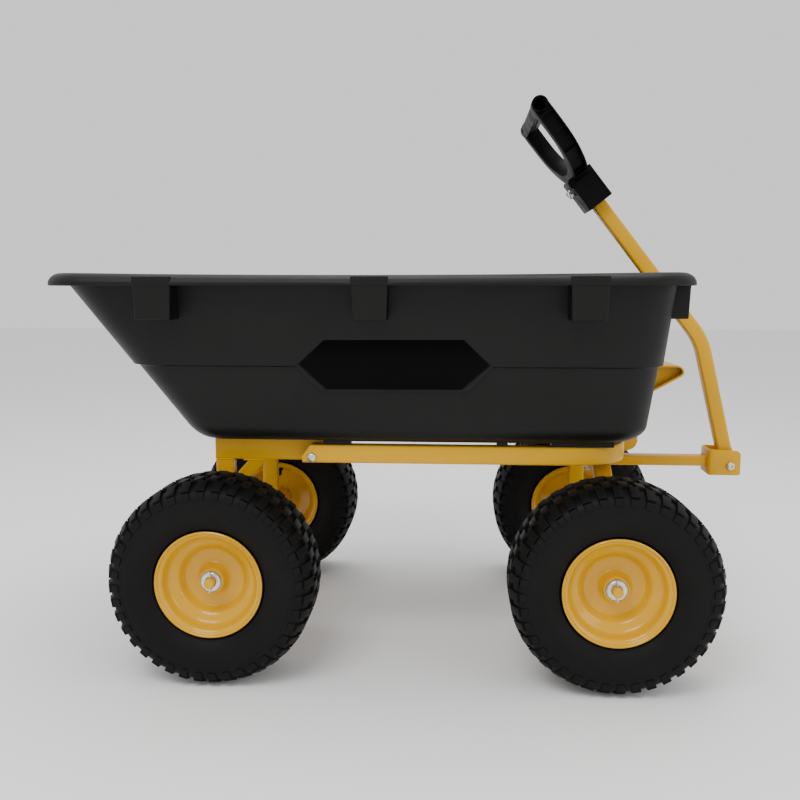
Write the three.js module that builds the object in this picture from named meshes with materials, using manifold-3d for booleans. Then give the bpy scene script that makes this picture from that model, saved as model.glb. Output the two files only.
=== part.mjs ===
// Garden dump cart: a moulded tray on a rear frame that hinges on a bent front frame,
// with a steered front axle, a dog-leg pull handle and four pneumatic wheels.
// Units are millimetres. X runs forward to the drawbar, +Y is the cart's left, Z is up.
// The origin is on the floor, midway along the cart's length and width.
import * as THREE from "three";
import { mergeVertices } from "three/addons/utils/BufferGeometryUtils.js";
import Module from "manifold-3d";

// ---------------------------------------------------------------- driving dimensions
const GAP = 0.3; // between pieces that touch
const WALL = 2; // wall of the steel tubes
const AXLE_R = 8;
const BORE_PLAY = 0.4; // radial play of holes around bolts and axles

const WHEEL = { radius: 165, halfWidth: 63.5, planeY: 272.5 };
const FRONT_AXLE_X = 316;
const REAR_AXLE_X = -317;
const HUB = { inner: -48.5, outer: 33.5, radius: 20, bore: 17.3 };

const TRAY_WALL = 4.5;
const TRAY_FLOOR = 378;
const RIM = { rear: -583, front: 433, half: 317.5, top: 645, lipBottom: 629, thick: 4.5, lip: 5 };
const POCKET = { wall: 362.5, lip: 369, half: 132, side: 150 }; // clears the folded pull handle
const DRAFT = 0.165; // how much a side wall leans out for each millimetre of height

const DUMP_PIVOT = { x: -169, z: 349 };
const ARM = { y: 201.5, wide: 25, tall: 30, low: 339.5, rear: -185, crossX: 341.5, bend: 82 };
const RAIL = { y: 176, wide: 25, low: 339, high: 377, rear: -337, front: -155 };
const LEG = { rear: -337, front: -307, low: 148 };
const WELD_NUT = { radius: 8, low: 366, floor: 371 }; // inside a rail, closed below

const ARCH = { riserY: 177.5, topZ: 323.5, deep: 25, wide: 30, bend: 80, low: 148 };
const DRAWBAR = { low: 302, high: 320, half: 15, front: 525 };
const CLEVIS = { rear: 525.3, front: 583, low: 288, high: 335, half: 26, plate: 4 };

const HANDLE_PIVOT = { x: 565, z: 305 };
const HANDLE = { size: 25, lean: 13.85, tail: 15, bend: 120 };
const HANDLE_VERTEX = { x: 509, z: 533 };
const GRIP = { x: 319, z: 775, lean: 38.2, socket: 66, thick: 47.5, width: 75, length: 204, span: 250 };

const KINGPIN_BOSS_TOP = 356; // keeps the bolt head below the tray's ribs
const LEVER_PIVOT = { x: 392, z: 462 };

// ---------------------------------------------------------------- materials
const paint = () => new THREE.MeshStandardMaterial({ color: 0xf2a900, roughness: 0.4, metalness: 0.1 });
const poly = () => new THREE.MeshStandardMaterial({ color: 0x252525, roughness: 0.6, metalness: 0 });
const rubber = () => new THREE.MeshStandardMaterial({ color: 0x1b1b1b, roughness: 0.85, metalness: 0 });
const zinc = () => new THREE.MeshStandardMaterial({ color: 0xb9bcc0, roughness: 0.35, metalness: 1 });
const gloss = () => new THREE.MeshStandardMaterial({ color: 0x060606, roughness: 0.15, metalness: 0 });
const bearingSteel = () => new THREE.MeshStandardMaterial({ color: 0x8d8f92, roughness: 0.3, metalness: 1 });

// ---------------------------------------------------------------- solids
const wasm = await Module();
wasm.setup();

const X_AXIS = new THREE.Vector3(1, 0, 0);
const Y_AXIS = new THREE.Vector3(0, 1, 0);
const Z_AXIS = new THREE.Vector3(0, 0, 1);

function solid(geometry) {
  const bare = geometry.index ? geometry.toNonIndexed() : geometry.clone();
  bare.deleteAttribute("normal");
  bare.deleteAttribute("uv");
  const merged = mergeVertices(bare, 1e-3);
  return new wasm.Manifold(
    new wasm.Mesh({
      numProp: 3,
      vertProperties: new Float32Array(merged.attributes.position.array),
      triVerts: new Uint32Array(merged.index.array),
    }),
  );
}

function geometryOf(body) {
  const mesh = body.getMesh();
  const geometry = new THREE.BufferGeometry();
  geometry.setAttribute("position", new THREE.BufferAttribute(mesh.vertProperties, 3));
  geometry.setIndex(new THREE.BufferAttribute(mesh.triVerts, 1));
  geometry.computeVertexNormals();
  return geometry;
}

function joined(...geometries) {
  return geometries.map(solid).reduce((whole, next) => whole.add(next));
}

function cut(body, ...tools) {
  return tools.map(solid).reduce((whole, tool) => whole.subtract(tool), body);
}

function box(x, y, z) {
  const geometry = new THREE.BoxGeometry(x[1] - x[0], y[1] - y[0], z[1] - z[0]);
  return geometry.translate((x[0] + x[1]) / 2, (y[0] + y[1]) / 2, (z[0] + z[1]) / 2);
}

// A round bar from one end to the other along Y, through the point (x, z).
function barY(radius, x, z, from, to, sides = 16) {
  const geometry = new THREE.CylinderGeometry(radius, radius, to - from, sides);
  return geometry.translate(x, (from + to) / 2, z);
}

// A round bar along Z, through the point (x, y).
function barZ(radius, x, y, from, to, sides = 20) {
  const geometry = new THREE.CylinderGeometry(radius, radius, to - from, sides).rotateX(Math.PI / 2);
  return geometry.translate(x, y, (from + to) / 2);
}

function shapeOf(points) {
  return new THREE.Shape(points.map(([a, b]) => new THREE.Vector2(a, b)));
}

// A side view outline, given as [x, z], carried across the cart from one Y to another.
function sideProfile(points, y) {
  const geometry = new THREE.ExtrudeGeometry(shapeOf(points), { depth: y[1] - y[0], bevelEnabled: false });
  const turn = new THREE.Matrix4().makeBasis(X_AXIS, Z_AXIS, Y_AXIS.clone().negate());
  return geometry.applyMatrix4(turn).translate(0, y[1], 0);
}

// A front view outline, given as [y, z], carried along the cart from one X to another.
function frontProfile(points, x) {
  const geometry = new THREE.ExtrudeGeometry(shapeOf(points), { depth: x[1] - x[0], bevelEnabled: false });
  const turn = new THREE.Matrix4().makeBasis(Y_AXIS, Z_AXIS, X_AXIS);
  return geometry.applyMatrix4(turn).translate(x[0], 0, 0);
}

// A ring turned about the Y axis from a closed outline of [radius, y] points.
function turned(points, sides) {
  const outline = [...points, points[0]].map(([r, y]) => new THREE.Vector2(r, y));
  return new THREE.LatheGeometry(outline, sides);
}

// ---------------------------------------------------------------- bent tubes
// Stations along a route of straight runs joined by arcs, each with its point and direction.
function bentStations(corners, radius, arcSteps) {
  const points = corners.map(([x, y, z]) => new THREE.Vector3(x, y, z));
  const stations = [];
  points.forEach((corner, i) => {
    const before = i > 0 ? corner.clone().sub(points[i - 1]).normalize() : null;
    const after = i < points.length - 1 ? points[i + 1].clone().sub(corner).normalize() : null;
    if (!before || !after) {
      stations.push({ point: corner, tangent: before ?? after });
      return;
    }
    const turn = before.angleTo(after);
    const axis = before.clone().cross(after).normalize();
    const start = corner.clone().addScaledVector(before, -radius * Math.tan(turn / 2));
    const centre = start.clone().addScaledVector(axis.clone().cross(before), radius);
    for (let step = 0; step <= arcSteps; step += 1) {
      const angle = (turn * step) / arcSteps;
      const point = start.clone().sub(centre).applyAxisAngle(axis, angle).add(centre);
      stations.push({ point, tangent: before.clone().applyAxisAngle(axis, angle) });
    }
  });
  return stations;
}

// A planar route whose sections stay square to it; side is the normal of its plane.
class BentPath extends THREE.Curve {
  constructor(stations, side) {
    super();
    this.stations = stations;
    this.side = side;
  }

  getPointAt(u) {
    return this.stations[Math.round(u * (this.stations.length - 1))].point.clone();
  }

  computeFrenetFrames() {
    const tangents = this.stations.map((station) => station.tangent.clone());
    const binormals = tangents.map(() => this.side.clone());
    const normals = tangents.map((tangent) => this.side.clone().cross(tangent));
    return { tangents, normals, binormals };
  }
}

function sweep(section, stations, side) {
  return new THREE.ExtrudeGeometry(section, {
    steps: stations.length - 1,
    bevelEnabled: false,
    extrudePath: new BentPath(stations, side),
  });
}

function rectangle(across, along, corner) {
  const a = across / 2;
  const b = along / 2;
  return [
    [a, -b + corner],
    [a, b - corner],
    [a - corner, b],
    [-a + corner, b],
    [-a, b - corner],
    [-a, -b + corner],
    [-a + corner, -b],
    [a - corner, -b],
  ];
}

// Rectangular tube section: the first size lies in the plane of the bend.
function tubeSection(inPlane, sideways) {
  const section = shapeOf(rectangle(inPlane, sideways, 3));
  const hole = rectangle(inPlane - 2 * WALL, sideways - 2 * WALL, 1.5).reverse();
  section.holes.push(new THREE.Path(hole.map(([a, b]) => new THREE.Vector2(a, b))));
  return section;
}

function roundSection(radius, sides) {
  const points = Array.from({ length: sides }, (_, i) => {
    const angle = (2 * Math.PI * i) / sides;
    return [radius * Math.cos(angle), radius * Math.sin(angle)];
  });
  return shapeOf(points);
}

// ---------------------------------------------------------------- scene
const cart = new THREE.Group();

function add(name, shape, material, parent = cart) {
  const geometry = shape instanceof THREE.BufferGeometry ? shape : geometryOf(shape);
  const mesh = new THREE.Mesh(geometry, material);
  mesh.name = name;
  parent.add(mesh);
  return mesh;
}

const SIDES = [
  { name: "left", sign: 1 },
  { name: "right", sign: -1 },
];

function across(sign, near, far) {
  return sign > 0 ? [near, far] : [-far, -near];
}

// ---------------------------------------------------------------- tray
// One level of the tray: a rounded rectangle with a shallow pocket in its front edge.
function trayLoop({ z, rear, front, half, corner, pocket }) {
  const steps = 3;
  const points = [];
  const corners = [
    [front - corner, -half + corner, -Math.PI / 2],
    [front - corner, half - corner, 0],
    [rear + corner, half - corner, Math.PI / 2],
    [rear + corner, -half + corner, Math.PI],
  ];
  corners.forEach(([x, y, from], index) => {
    for (let step = 0; step <= steps; step += 1) {
      const angle = from + (Math.PI / 2) * (step / steps);
      points.push([x + corner * Math.cos(angle), y + corner * Math.sin(angle), z]);
    }
    if (index === 0) {
      const set = Math.min(front, pocket);
      points.push([front, -POCKET.side, z], [set, -POCKET.half, z]);
      points.push([set, POCKET.half, z], [front, POCKET.side, z]);
    }
  });
  return points;
}

function loft(loops) {
  const count = loops[0].length;
  const positions = loops.flat(2);
  const index = [];
  loops.slice(1).forEach((_, level) => {
    for (let i = 0; i < count; i += 1) {
      const next = (i + 1) % count;
      const low = level * count;
      const high = low + count;
      index.push(low + i, low + next, high + next, low + i, high + next, high + i);
    }
  });
  const addCap = (start, facingUp) => {
    const middle = positions.length / 3;
    const loop = loops[start / count];
    positions.push(0, 0, loop[0][2]);
    for (let i = 0; i < count; i += 1) {
      const pair = [start + i, start + ((i + 1) % count)];
      index.push(middle, ...(facingUp ? pair : pair.reverse()));
    }
  };
  addCap(0, false);
  addCap((loops.length - 1) * count, true);
  const geometry = new THREE.BufferGeometry();
  geometry.setAttribute("position", new THREE.Float32BufferAttribute(positions, 3));
  geometry.setIndex(index);
  return geometry;
}

const LEDGE = 503;
const sideAt = (z) => (z > LEDGE ? 259 + (z - 504) * DRAFT : 253.5 - (502 - z) * DRAFT);
const TRAY_OUTSIDE = [
  { z: TRAY_FLOOR, rear: -345, front: 327, half: 213, corner: 40 },
  { z: 382, rear: -362, front: 345, half: 226, corner: 48 },
  { z: 392, rear: -374, front: 361, half: 234, corner: 52 },
  { z: 408, rear: -386, front: 370.5, half: sideAt(408), corner: 54 },
  { z: 502, rear: -456, front: 382, half: sideAt(502), corner: 56 },
  { z: 504, rear: -464, front: 389, half: sideAt(504), corner: 60 },
  { z: 628, rear: -556.5, front: 404, half: sideAt(628), corner: 64 },
  { z: RIM.top - RIM.thick, rear: -566, front: 405.6, half: sideAt(RIM.top - RIM.thick), corner: 66 },
];

function rimLevel(z, inset, pocket) {
  return {
    z,
    rear: RIM.rear + inset,
    front: RIM.front - inset,
    half: RIM.half - inset,
    corner: 82 - inset,
    pocket,
  };
}

function trayShell() {
  const outside = TRAY_OUTSIDE.map((level) => ({ ...level, pocket: POCKET.wall }));
  const rim = [
    rimLevel(RIM.top - RIM.thick, RIM.lip, POCKET.lip - 3),
    rimLevel(RIM.lipBottom, RIM.lip, POCKET.lip - 3),
    rimLevel(RIM.lipBottom, 1.5, POCKET.lip - 0.8),
    rimLevel(RIM.lipBottom + 4, 0, POCKET.lip),
    rimLevel(RIM.top - 5, 0, POCKET.lip),
    rimLevel(RIM.top, 4, POCKET.lip - 3),
  ];
  const inside = outside.toReversed().map((level, i) => ({
    z: i === 0 ? RIM.top : level.z + (level.z < 400 ? TRAY_WALL : 0),
    rear: level.rear + TRAY_WALL,
    front: level.front - TRAY_WALL,
    half: level.half - TRAY_WALL,
    corner: level.corner - TRAY_WALL,
    pocket: POCKET.wall - TRAY_WALL,
  }));
  return loft([...outside, ...rim, ...inside].map(trayLoop));
}

const SIDE_TABS = [
  [-423, -364],
  [-91, -35],
  [234, 291],
];
const FRONT_TAB = [157, 217];
const TAB_BOTTOM = 577;
const TAB_WALL = 4;

// Open-bottomed block that stiffens the rim, as an outline outwards from the wall.
function tabOutline(wallLow, wallHigh, edge) {
  return [
    [wallLow, TAB_BOTTOM],
    [edge - 2, TAB_BOTTOM],
    [edge, 632],
    [edge, 641],
    [wallHigh, 641],
  ];
}

function tabHollow(wallLow, wallHigh, edge) {
  return [
    [wallLow + 1.5, TAB_BOTTOM - 1],
    [edge - 2 - TAB_WALL, TAB_BOTTOM - 1],
    [edge - TAB_WALL, 632],
    [edge - TAB_WALL, 637],
    [wallHigh + 1, 637],
  ];
}

const PANEL = [
  [-182, 507],
  [-141, 545],
  [80, 546],
  [121, 506],
  [77, 467],
  [-139, 466],
];

// Prism on the leaning side wall: outline as [x, z], depth range measured outwards from the wall.
function panelPrism(sign, outline, depth) {
  const lean = Math.atan(DRAFT);
  const up = new THREE.Vector3(0, sign * Math.sin(lean), Math.cos(lean));
  const forward = X_AXIS.clone().cross(up);
  const points = outline.map(([x, z]) => [x, (z - 504) / Math.cos(lean)]);
  const [from, to] = across(-sign, depth[0], depth[1]);
  const geometry = new THREE.ExtrudeGeometry(shapeOf(points), { depth: to - from, bevelEnabled: false });
  geometry.translate(0, 0, from);
  const turn = new THREE.Matrix4().makeBasis(X_AXIS, up, forward);
  return geometry.applyMatrix4(turn).translate(0, sign * sideAt(504), 504);
}

// The panel outline scaled about its middle, so that its upper and lower edges move by a distance.
function grownPanel(by) {
  const [middleX, middleZ] = [-30, 506];
  const scale = 1 + by / 40;
  return PANEL.map(([x, z]) => [middleX + (x - middleX) * scale, middleZ + (z - middleZ) * scale]);
}

const TRAY_BOLTS = [
  { name: "rear_left", x: -295, y: 176 },
  { name: "rear_right", x: -295, y: -176 },
  { name: "front_left", x: -195, y: 176 },
  { name: "front_right", x: -195, y: -176 },
];
const TRAY_BOLT = { shank: 4, head: 10, headTall: 3.2 };
const FLOOR_TOP = TRAY_FLOOR + TRAY_WALL;

function buildTray() {
  let tray = solid(trayShell());
  const additions = [];
  const removals = [];
  for (const { sign } of SIDES) {
    const turnOver = ([y, z]) => [sign * y, z];
    for (const [from, to] of SIDE_TABS) {
      additions.push(frontProfile(tabOutline(269, 279.5, RIM.half).map(turnOver), [from, to]));
      const inside = [from + TAB_WALL, to - TAB_WALL];
      removals.push(frontProfile(tabHollow(269, 279.5, RIM.half).map(turnOver), inside));
    }
    const [near, far] = across(sign, ...FRONT_TAB);
    additions.push(sideProfile(tabOutline(395.5, 403.5, RIM.front), [near, far]));
    removals.push(sideProfile(tabHollow(395.5, 403.5, RIM.front), [near + TAB_WALL, far - TAB_WALL]));
    const lowerPanel = grownPanel(4).filter(([, z]) => z < 500);
    const halfPanel = [[-184, LEDGE], [-184, 506], [124, 506], [124, LEDGE], ...lowerPanel];
    additions.push(panelPrism(sign, halfPanel, [-7.5, -0.05]));
    removals.push(panelPrism(sign, PANEL, [-1.8, 3]));
    // Low ribs on the underside that rest over the front frame's arms.
    for (const x of [[-150, -105], [134, 152], [222, 322]]) {
      additions.push(box(x, across(sign, 192, 211), [ARM.low + ARM.tall + GAP, TRAY_FLOOR + 2]));
    }
  }
  for (const { x, y } of TRAY_BOLTS) {
    removals.push(barZ(TRAY_BOLT.shank + BORE_PLAY, x, y, TRAY_FLOOR - 5, FLOOR_TOP + 5, 12));
  }
  tray = additions.map(solid).reduce((whole, piece) => whole.add(piece), tray);
  tray = cut(tray, ...removals);
  add("tray", tray, poly());
  for (const { name, sign } of SIDES) {
    add(`side_panel_${name}`, panelPrism(sign, grownPanel(-0.6), [-1.5, -0.4]), gloss());
  }
  for (const { name, x, y } of TRAY_BOLTS) {
    const underHead = FLOOR_TOP + GAP;
    const head = barZ(TRAY_BOLT.head, x, y, underHead, underHead + TRAY_BOLT.headTall, 12);
    const shank = barZ(TRAY_BOLT.shank, x, y, WELD_NUT.floor + GAP, underHead + 1, 12);
    add(`tray_bolt_${name}`, joined(head, shank), zinc());
  }
}

// ---------------------------------------------------------------- rear frame
function wallBoxes(x, y, z, open) {
  const shrunk = ([from, to]) => [from + WALL, to - WALL];
  const inner = { x: shrunk(x), y: shrunk(y), z: shrunk(z) };
  inner[open] = [inner[open][0] - 2 * WALL, inner[open][1] + 2 * WALL];
  return { outer: box(x, y, z), inner: box(inner.x, inner.y, inner.z) };
}

const BRACE = { railX: -257, railZ: 348, legX: -322, legZ: 276, half: 11 };

function braceBar(half, inset) {
  const along = new THREE.Vector2(BRACE.legX - BRACE.railX, BRACE.legZ - BRACE.railZ).normalize();
  const off = new THREE.Vector2(-along.y, along.x);
  const ends = [
    [BRACE.railX, BRACE.railZ],
    [BRACE.legX, BRACE.legZ],
  ];
  const corner = ([x, z], side) => [x + off.x * half * side, z + off.y * half * side];
  const points = [corner(ends[0], 1), corner(ends[1], 1), corner(ends[1], -1), corner(ends[0], -1)];
  return (y) => sideProfile(points, [y[0] + inset, y[1] - inset]);
}

function buildRearFrame() {
  for (const { name, sign } of SIDES) {
    const y = across(sign, RAIL.y - RAIL.wide / 2, RAIL.y + RAIL.wide / 2);
    const rail = wallBoxes([RAIL.rear, RAIL.front], y, [RAIL.low, RAIL.high], "x");
    const leg = wallBoxes([LEG.rear, LEG.front], y, [LEG.low, RAIL.low + 5], "z");
    const frame = joined(rail.outer, leg.outer, braceBar(BRACE.half, 0)(y));
    const hollow = cut(frame, rail.inner, leg.inner, braceBar(BRACE.half - WALL, WALL)(y));
    const ownBolts = TRAY_BOLTS.filter((bolt) => Math.sign(bolt.y) === sign);
    const boltBars = (radius, from, to) => ownBolts.map((bolt) => barZ(radius, bolt.x, bolt.y, from, to, 12));
    const nuts = boltBars(WELD_NUT.radius, WELD_NUT.low, RAIL.high - 1);
    const threads = boltBars(TRAY_BOLT.shank + BORE_PLAY, WELD_NUT.floor, RAIL.high + 5);
    const shaped = cut(
      nuts.map(solid).reduce((whole, nut) => whole.add(nut), hollow),
      sideProfile([[-170, 330], [-150, 330], [-150, 345]], [y[0] - 1, y[1] + 1]),
      barY(AXLE_R + BORE_PLAY, REAR_AXLE_X, WHEEL.radius, y[0] - 1, y[1] + 1),
      barY(6 + BORE_PLAY, DUMP_PIVOT.x, DUMP_PIVOT.z, y[0] - 1, y[1] + 1),
      ...threads,
    );
    add(`rear_frame_${name}`, shaped, paint());
  }
  const inner = RAIL.y - RAIL.wide / 2 - GAP;
  for (const [name, x] of [["rear_cross_beam", [-337, -307]], ["mid_cross_beam", [-232, -207]]]) {
    const beam = wallBoxes(x, [-inner, inner], [346, 374], "y");
    add(name, cut(solid(beam.outer), beam.inner), paint());
  }
}

// ---------------------------------------------------------------- front frame
function buildFrontFrame() {
  const z = ARM.low + ARM.tall / 2;
  const route = [
    [ARM.rear, -ARM.y, z],
    [ARM.crossX, -ARM.y, z],
    [ARM.crossX, ARM.y, z],
    [ARM.rear, ARM.y, z],
  ];
  const tube = solid(sweep(tubeSection(ARM.wide, ARM.tall), bentStations(route, ARM.bend, 4), Z_AXIS));
  const cornerCut = [[-190, 350], [-184, 350], [-170, 370], [-170, 374], [-190, 374]];
  const frame = cut(
    tube,
    sideProfile(cornerCut, [-220, -180]),
    sideProfile(cornerCut, [180, 220]),
    barY(6 + BORE_PLAY, DUMP_PIVOT.x, DUMP_PIVOT.z, -220, -180),
    barY(6 + BORE_PLAY, DUMP_PIVOT.x, DUMP_PIVOT.z, 180, 220),
  );
  add("front_frame", frame, paint());

  const plateTop = ARM.low - GAP;
  const plate = joined(
    box([276, 350], [-70, 70], [plateTop - 2.6, plateTop]),
    barZ(12.4, FRONT_AXLE_X, 0, plateTop - 1, KINGPIN_BOSS_TOP, 20),
  );
  add("steering_plate", cut(plate, barZ(8 + BORE_PLAY, FRONT_AXLE_X, 0, 330, 370, 20)), paint());

  for (const { name, sign } of SIDES) {
    const { x, z: pivotZ } = DUMP_PIVOT;
    const outer = ARM.y + ARM.wide / 2 + GAP;
    const innerFace = RAIL.y - RAIL.wide / 2 - GAP;
    const bolt = joined(
      barY(6, x, pivotZ, ...across(sign, innerFace - 14, outer + 1), 16),
      barY(12, x, pivotZ, ...across(sign, outer, outer + 2.2), 16),
      barY(9.5, x, pivotZ, ...across(sign, outer + 1, outer + 8), 6),
    );
    add(`pivot_bolt_${name}`, bolt, zinc());
    const nut = barY(9.5, x, pivotZ, ...across(sign, innerFace - 10, innerFace), 6);
    add(`pivot_nut_${name}`, cut(solid(nut), barY(6 + BORE_PLAY, x, pivotZ, -180, 180, 16)), zinc());
  }
}

// ---------------------------------------------------------------- steered front axle
function buildSteering() {
  const half = ARCH.riserY;
  const route = [
    [FRONT_AXLE_X, -half, ARCH.low],
    [FRONT_AXLE_X, -half, ARCH.topZ],
    [FRONT_AXLE_X, half, ARCH.topZ],
    [FRONT_AXLE_X, half, ARCH.low],
  ];
  const arch = sweep(tubeSection(ARCH.deep, ARCH.wide), bentStations(route, ARCH.bend, 4), X_AXIS);
  const archTop = ARCH.topZ + ARCH.deep / 2;
  const archUnder = ARCH.topZ - ARCH.deep / 2;
  const drilled = cut(
    solid(arch),
    barY(AXLE_R + BORE_PLAY, FRONT_AXLE_X, WHEEL.radius, -220, 220),
    barZ(8 + BORE_PLAY, FRONT_AXLE_X, 0, archUnder - 5, archTop + 5),
  );
  add("front_axle_arch", drilled, paint());

  const archFront = FRONT_AXLE_X + ARCH.wide / 2;
  const flangeX = archFront + GAP;
  const barLength = [flangeX + 2, DRAWBAR.front];
  const bar = wallBoxes(barLength, [-DRAWBAR.half, DRAWBAR.half], [DRAWBAR.low, DRAWBAR.high], "x");
  const flange = box([flangeX, flangeX + 4], [-34, 34], [297, 335]);
  add("drawbar", cut(joined(bar.outer, flange), bar.inner), paint());

  const plate = [
    [CLEVIS.rear, CLEVIS.low],
    [CLEVIS.front - 5, CLEVIS.low],
    [CLEVIS.front, CLEVIS.low + 5],
    [CLEVIS.front, CLEVIS.high - 10],
    [CLEVIS.front - 10, CLEVIS.high],
    [CLEVIS.rear + 8, CLEVIS.high],
    [CLEVIS.rear, CLEVIS.high - 8],
  ];
  const block = solid(sideProfile(plate, [-CLEVIS.half, CLEVIS.half]));
  const clevisInside = CLEVIS.half - CLEVIS.plate;
  const clevis = cut(
    block,
    box([CLEVIS.rear + CLEVIS.plate, CLEVIS.front + 1], [-clevisInside, clevisInside], [280, 340]),
    barY(6 + BORE_PLAY, HANDLE_PIVOT.x, HANDLE_PIVOT.z, -40, 40),
  );
  add("drawbar_clevis", clevis, paint());

  const washerLow = KINGPIN_BOSS_TOP + GAP;
  const nutHigh = archUnder - GAP;
  const kingpin = joined(
    barZ(8, FRONT_AXLE_X, 0, nutHigh - 20, washerLow + 3, 20),
    barZ(12.4, FRONT_AXLE_X, 0, washerLow, washerLow + 2.4, 20),
    barZ(12, FRONT_AXLE_X, 0, washerLow + 2, washerLow + 11, 6),
  );
  add("kingpin_bolt", kingpin, zinc());
  const nut = solid(barZ(13.5, FRONT_AXLE_X, 0, nutHigh - 14, nutHigh, 6));
  add("kingpin_nut", cut(nut, barZ(8 + BORE_PLAY, FRONT_AXLE_X, 0, 280, 320, 20)), zinc());
}

// An axle with a shoulder inside each wheel and a cross hole for each cotter pin.
const AXLE_END = 321;
const COTTER_Y = 314;

function buildAxle(name, x) {
  const hubInnerY = WHEEL.planeY + HUB.inner - GAP;
  const z = WHEEL.radius;
  const axle = joined(
    barY(AXLE_R, x, z, -AXLE_END, AXLE_END, 16),
    barY(12, x, z, hubInnerY - 8, hubInnerY, 16),
    barY(12, x, z, -hubInnerY, -hubInnerY + 8, 16),
  );
  const slot = [COTTER_Y - 3.4, COTTER_Y + 3.4];
  const holes = SIDES.map(({ sign }) => box([x - 1.8, x + 1.8], across(sign, ...slot), [150, 180]));
  add(`${name}_axle`, cut(axle, ...holes), paint());
  for (const { name: side, sign } of SIDES) {
    const washer = turned([[AXLE_R + BORE_PLAY, 0], [17, 0], [17, 2.4], [AXLE_R + BORE_PLAY, 2.4]], 14);
    const washerY = WHEEL.planeY + HUB.outer + GAP;
    const low = across(sign, washerY, washerY + 2.4)[0];
    add(`${name}_washer_${side}`, washer.translate(x, low, z), zinc());
    const y = sign * COTTER_Y;
    const route = [
      [x, y - 1.7, z - 15],
      [x, y - 1.7, z + 10],
      [x, y - 3.6, z + 15],
      [x, y, z + 21],
      [x, y + 3.6, z + 15],
      [x, y + 1.7, z + 10],
      [x, y + 1.7, z - 13],
    ];
    const pin = sweep(roundSection(1.3, 5), bentStations(route, 1.5, 1), X_AXIS.clone().negate());
    add(`${name}_cotter_${side}`, pin, zinc());
  }
}

// ---------------------------------------------------------------- wheels
const TYRE_OUTSIDE = [
  [77.2, 31],
  [77.2, 40],
  [86, 44],
  [104, 58.5],
  [128, WHEEL.halfWidth],
  [152, 59.5],
  [WHEEL.radius, 34],
];
const TYRE_INSIDE = [
  [110, 50],
  [152, 44],
];
const RIM_OUTSIDE = [
  [85.6, 49.5],
  [76.2, 42],
  [76.2, 25],
  [66, 14],
];
const RIM_INSIDE = [
  [83, 49.5],
  [73.8, 43],
  [73.8, 26],
  [63.6, 15],
];
const mirrored = (points) => points.toReversed().map(([r, y]) => [r, -y]);

function buildWheel(name, x, sign) {
  const wheel = new THREE.Group();
  wheel.position.set(x, sign * WHEEL.planeY, WHEEL.radius);
  wheel.rotation.z = sign > 0 ? 0 : Math.PI;
  cart.add(wheel);
  const tyre = [...TYRE_OUTSIDE, ...mirrored(TYRE_OUTSIDE), ...TYRE_INSIDE.map(([r, y]) => [r, -y])];
  add(`tyre_${name}`, turned([...tyre, ...TYRE_INSIDE.toReversed()].toReversed(), 28), rubber(), wheel);
  const disc = [
    [63.6, -1.2],
    [HUB.radius, -1.2],
    [HUB.radius, HUB.inner],
    [HUB.bore, HUB.inner],
    [HUB.bore, HUB.outer],
    [HUB.radius, HUB.outer],
    [HUB.radius, 1.4],
    [49.5, 1.4],
  ];
  const rimBack = mirrored(RIM_INSIDE.slice(0, 4)).toReversed();
  const rim = [...RIM_OUTSIDE, ...mirrored(RIM_OUTSIDE), ...rimBack, ...disc, ...RIM_INSIDE.toReversed()];
  add(`rim_${name}`, turned(rim.toReversed(), 20), paint(), wheel);
  for (const [place, y] of [["outer", HUB.outer - 11], ["inner", HUB.inner]]) {
    const bearingR = HUB.bore - GAP;
    const ring = turned([[AXLE_R + GAP, 0.2], [bearingR, 0.2], [bearingR, 10.8], [AXLE_R + GAP, 10.8]], 14);
    add(`bearing_${place}_${name}`, ring.translate(0, y, 0), bearingSteel(), wheel);
  }
}

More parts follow.
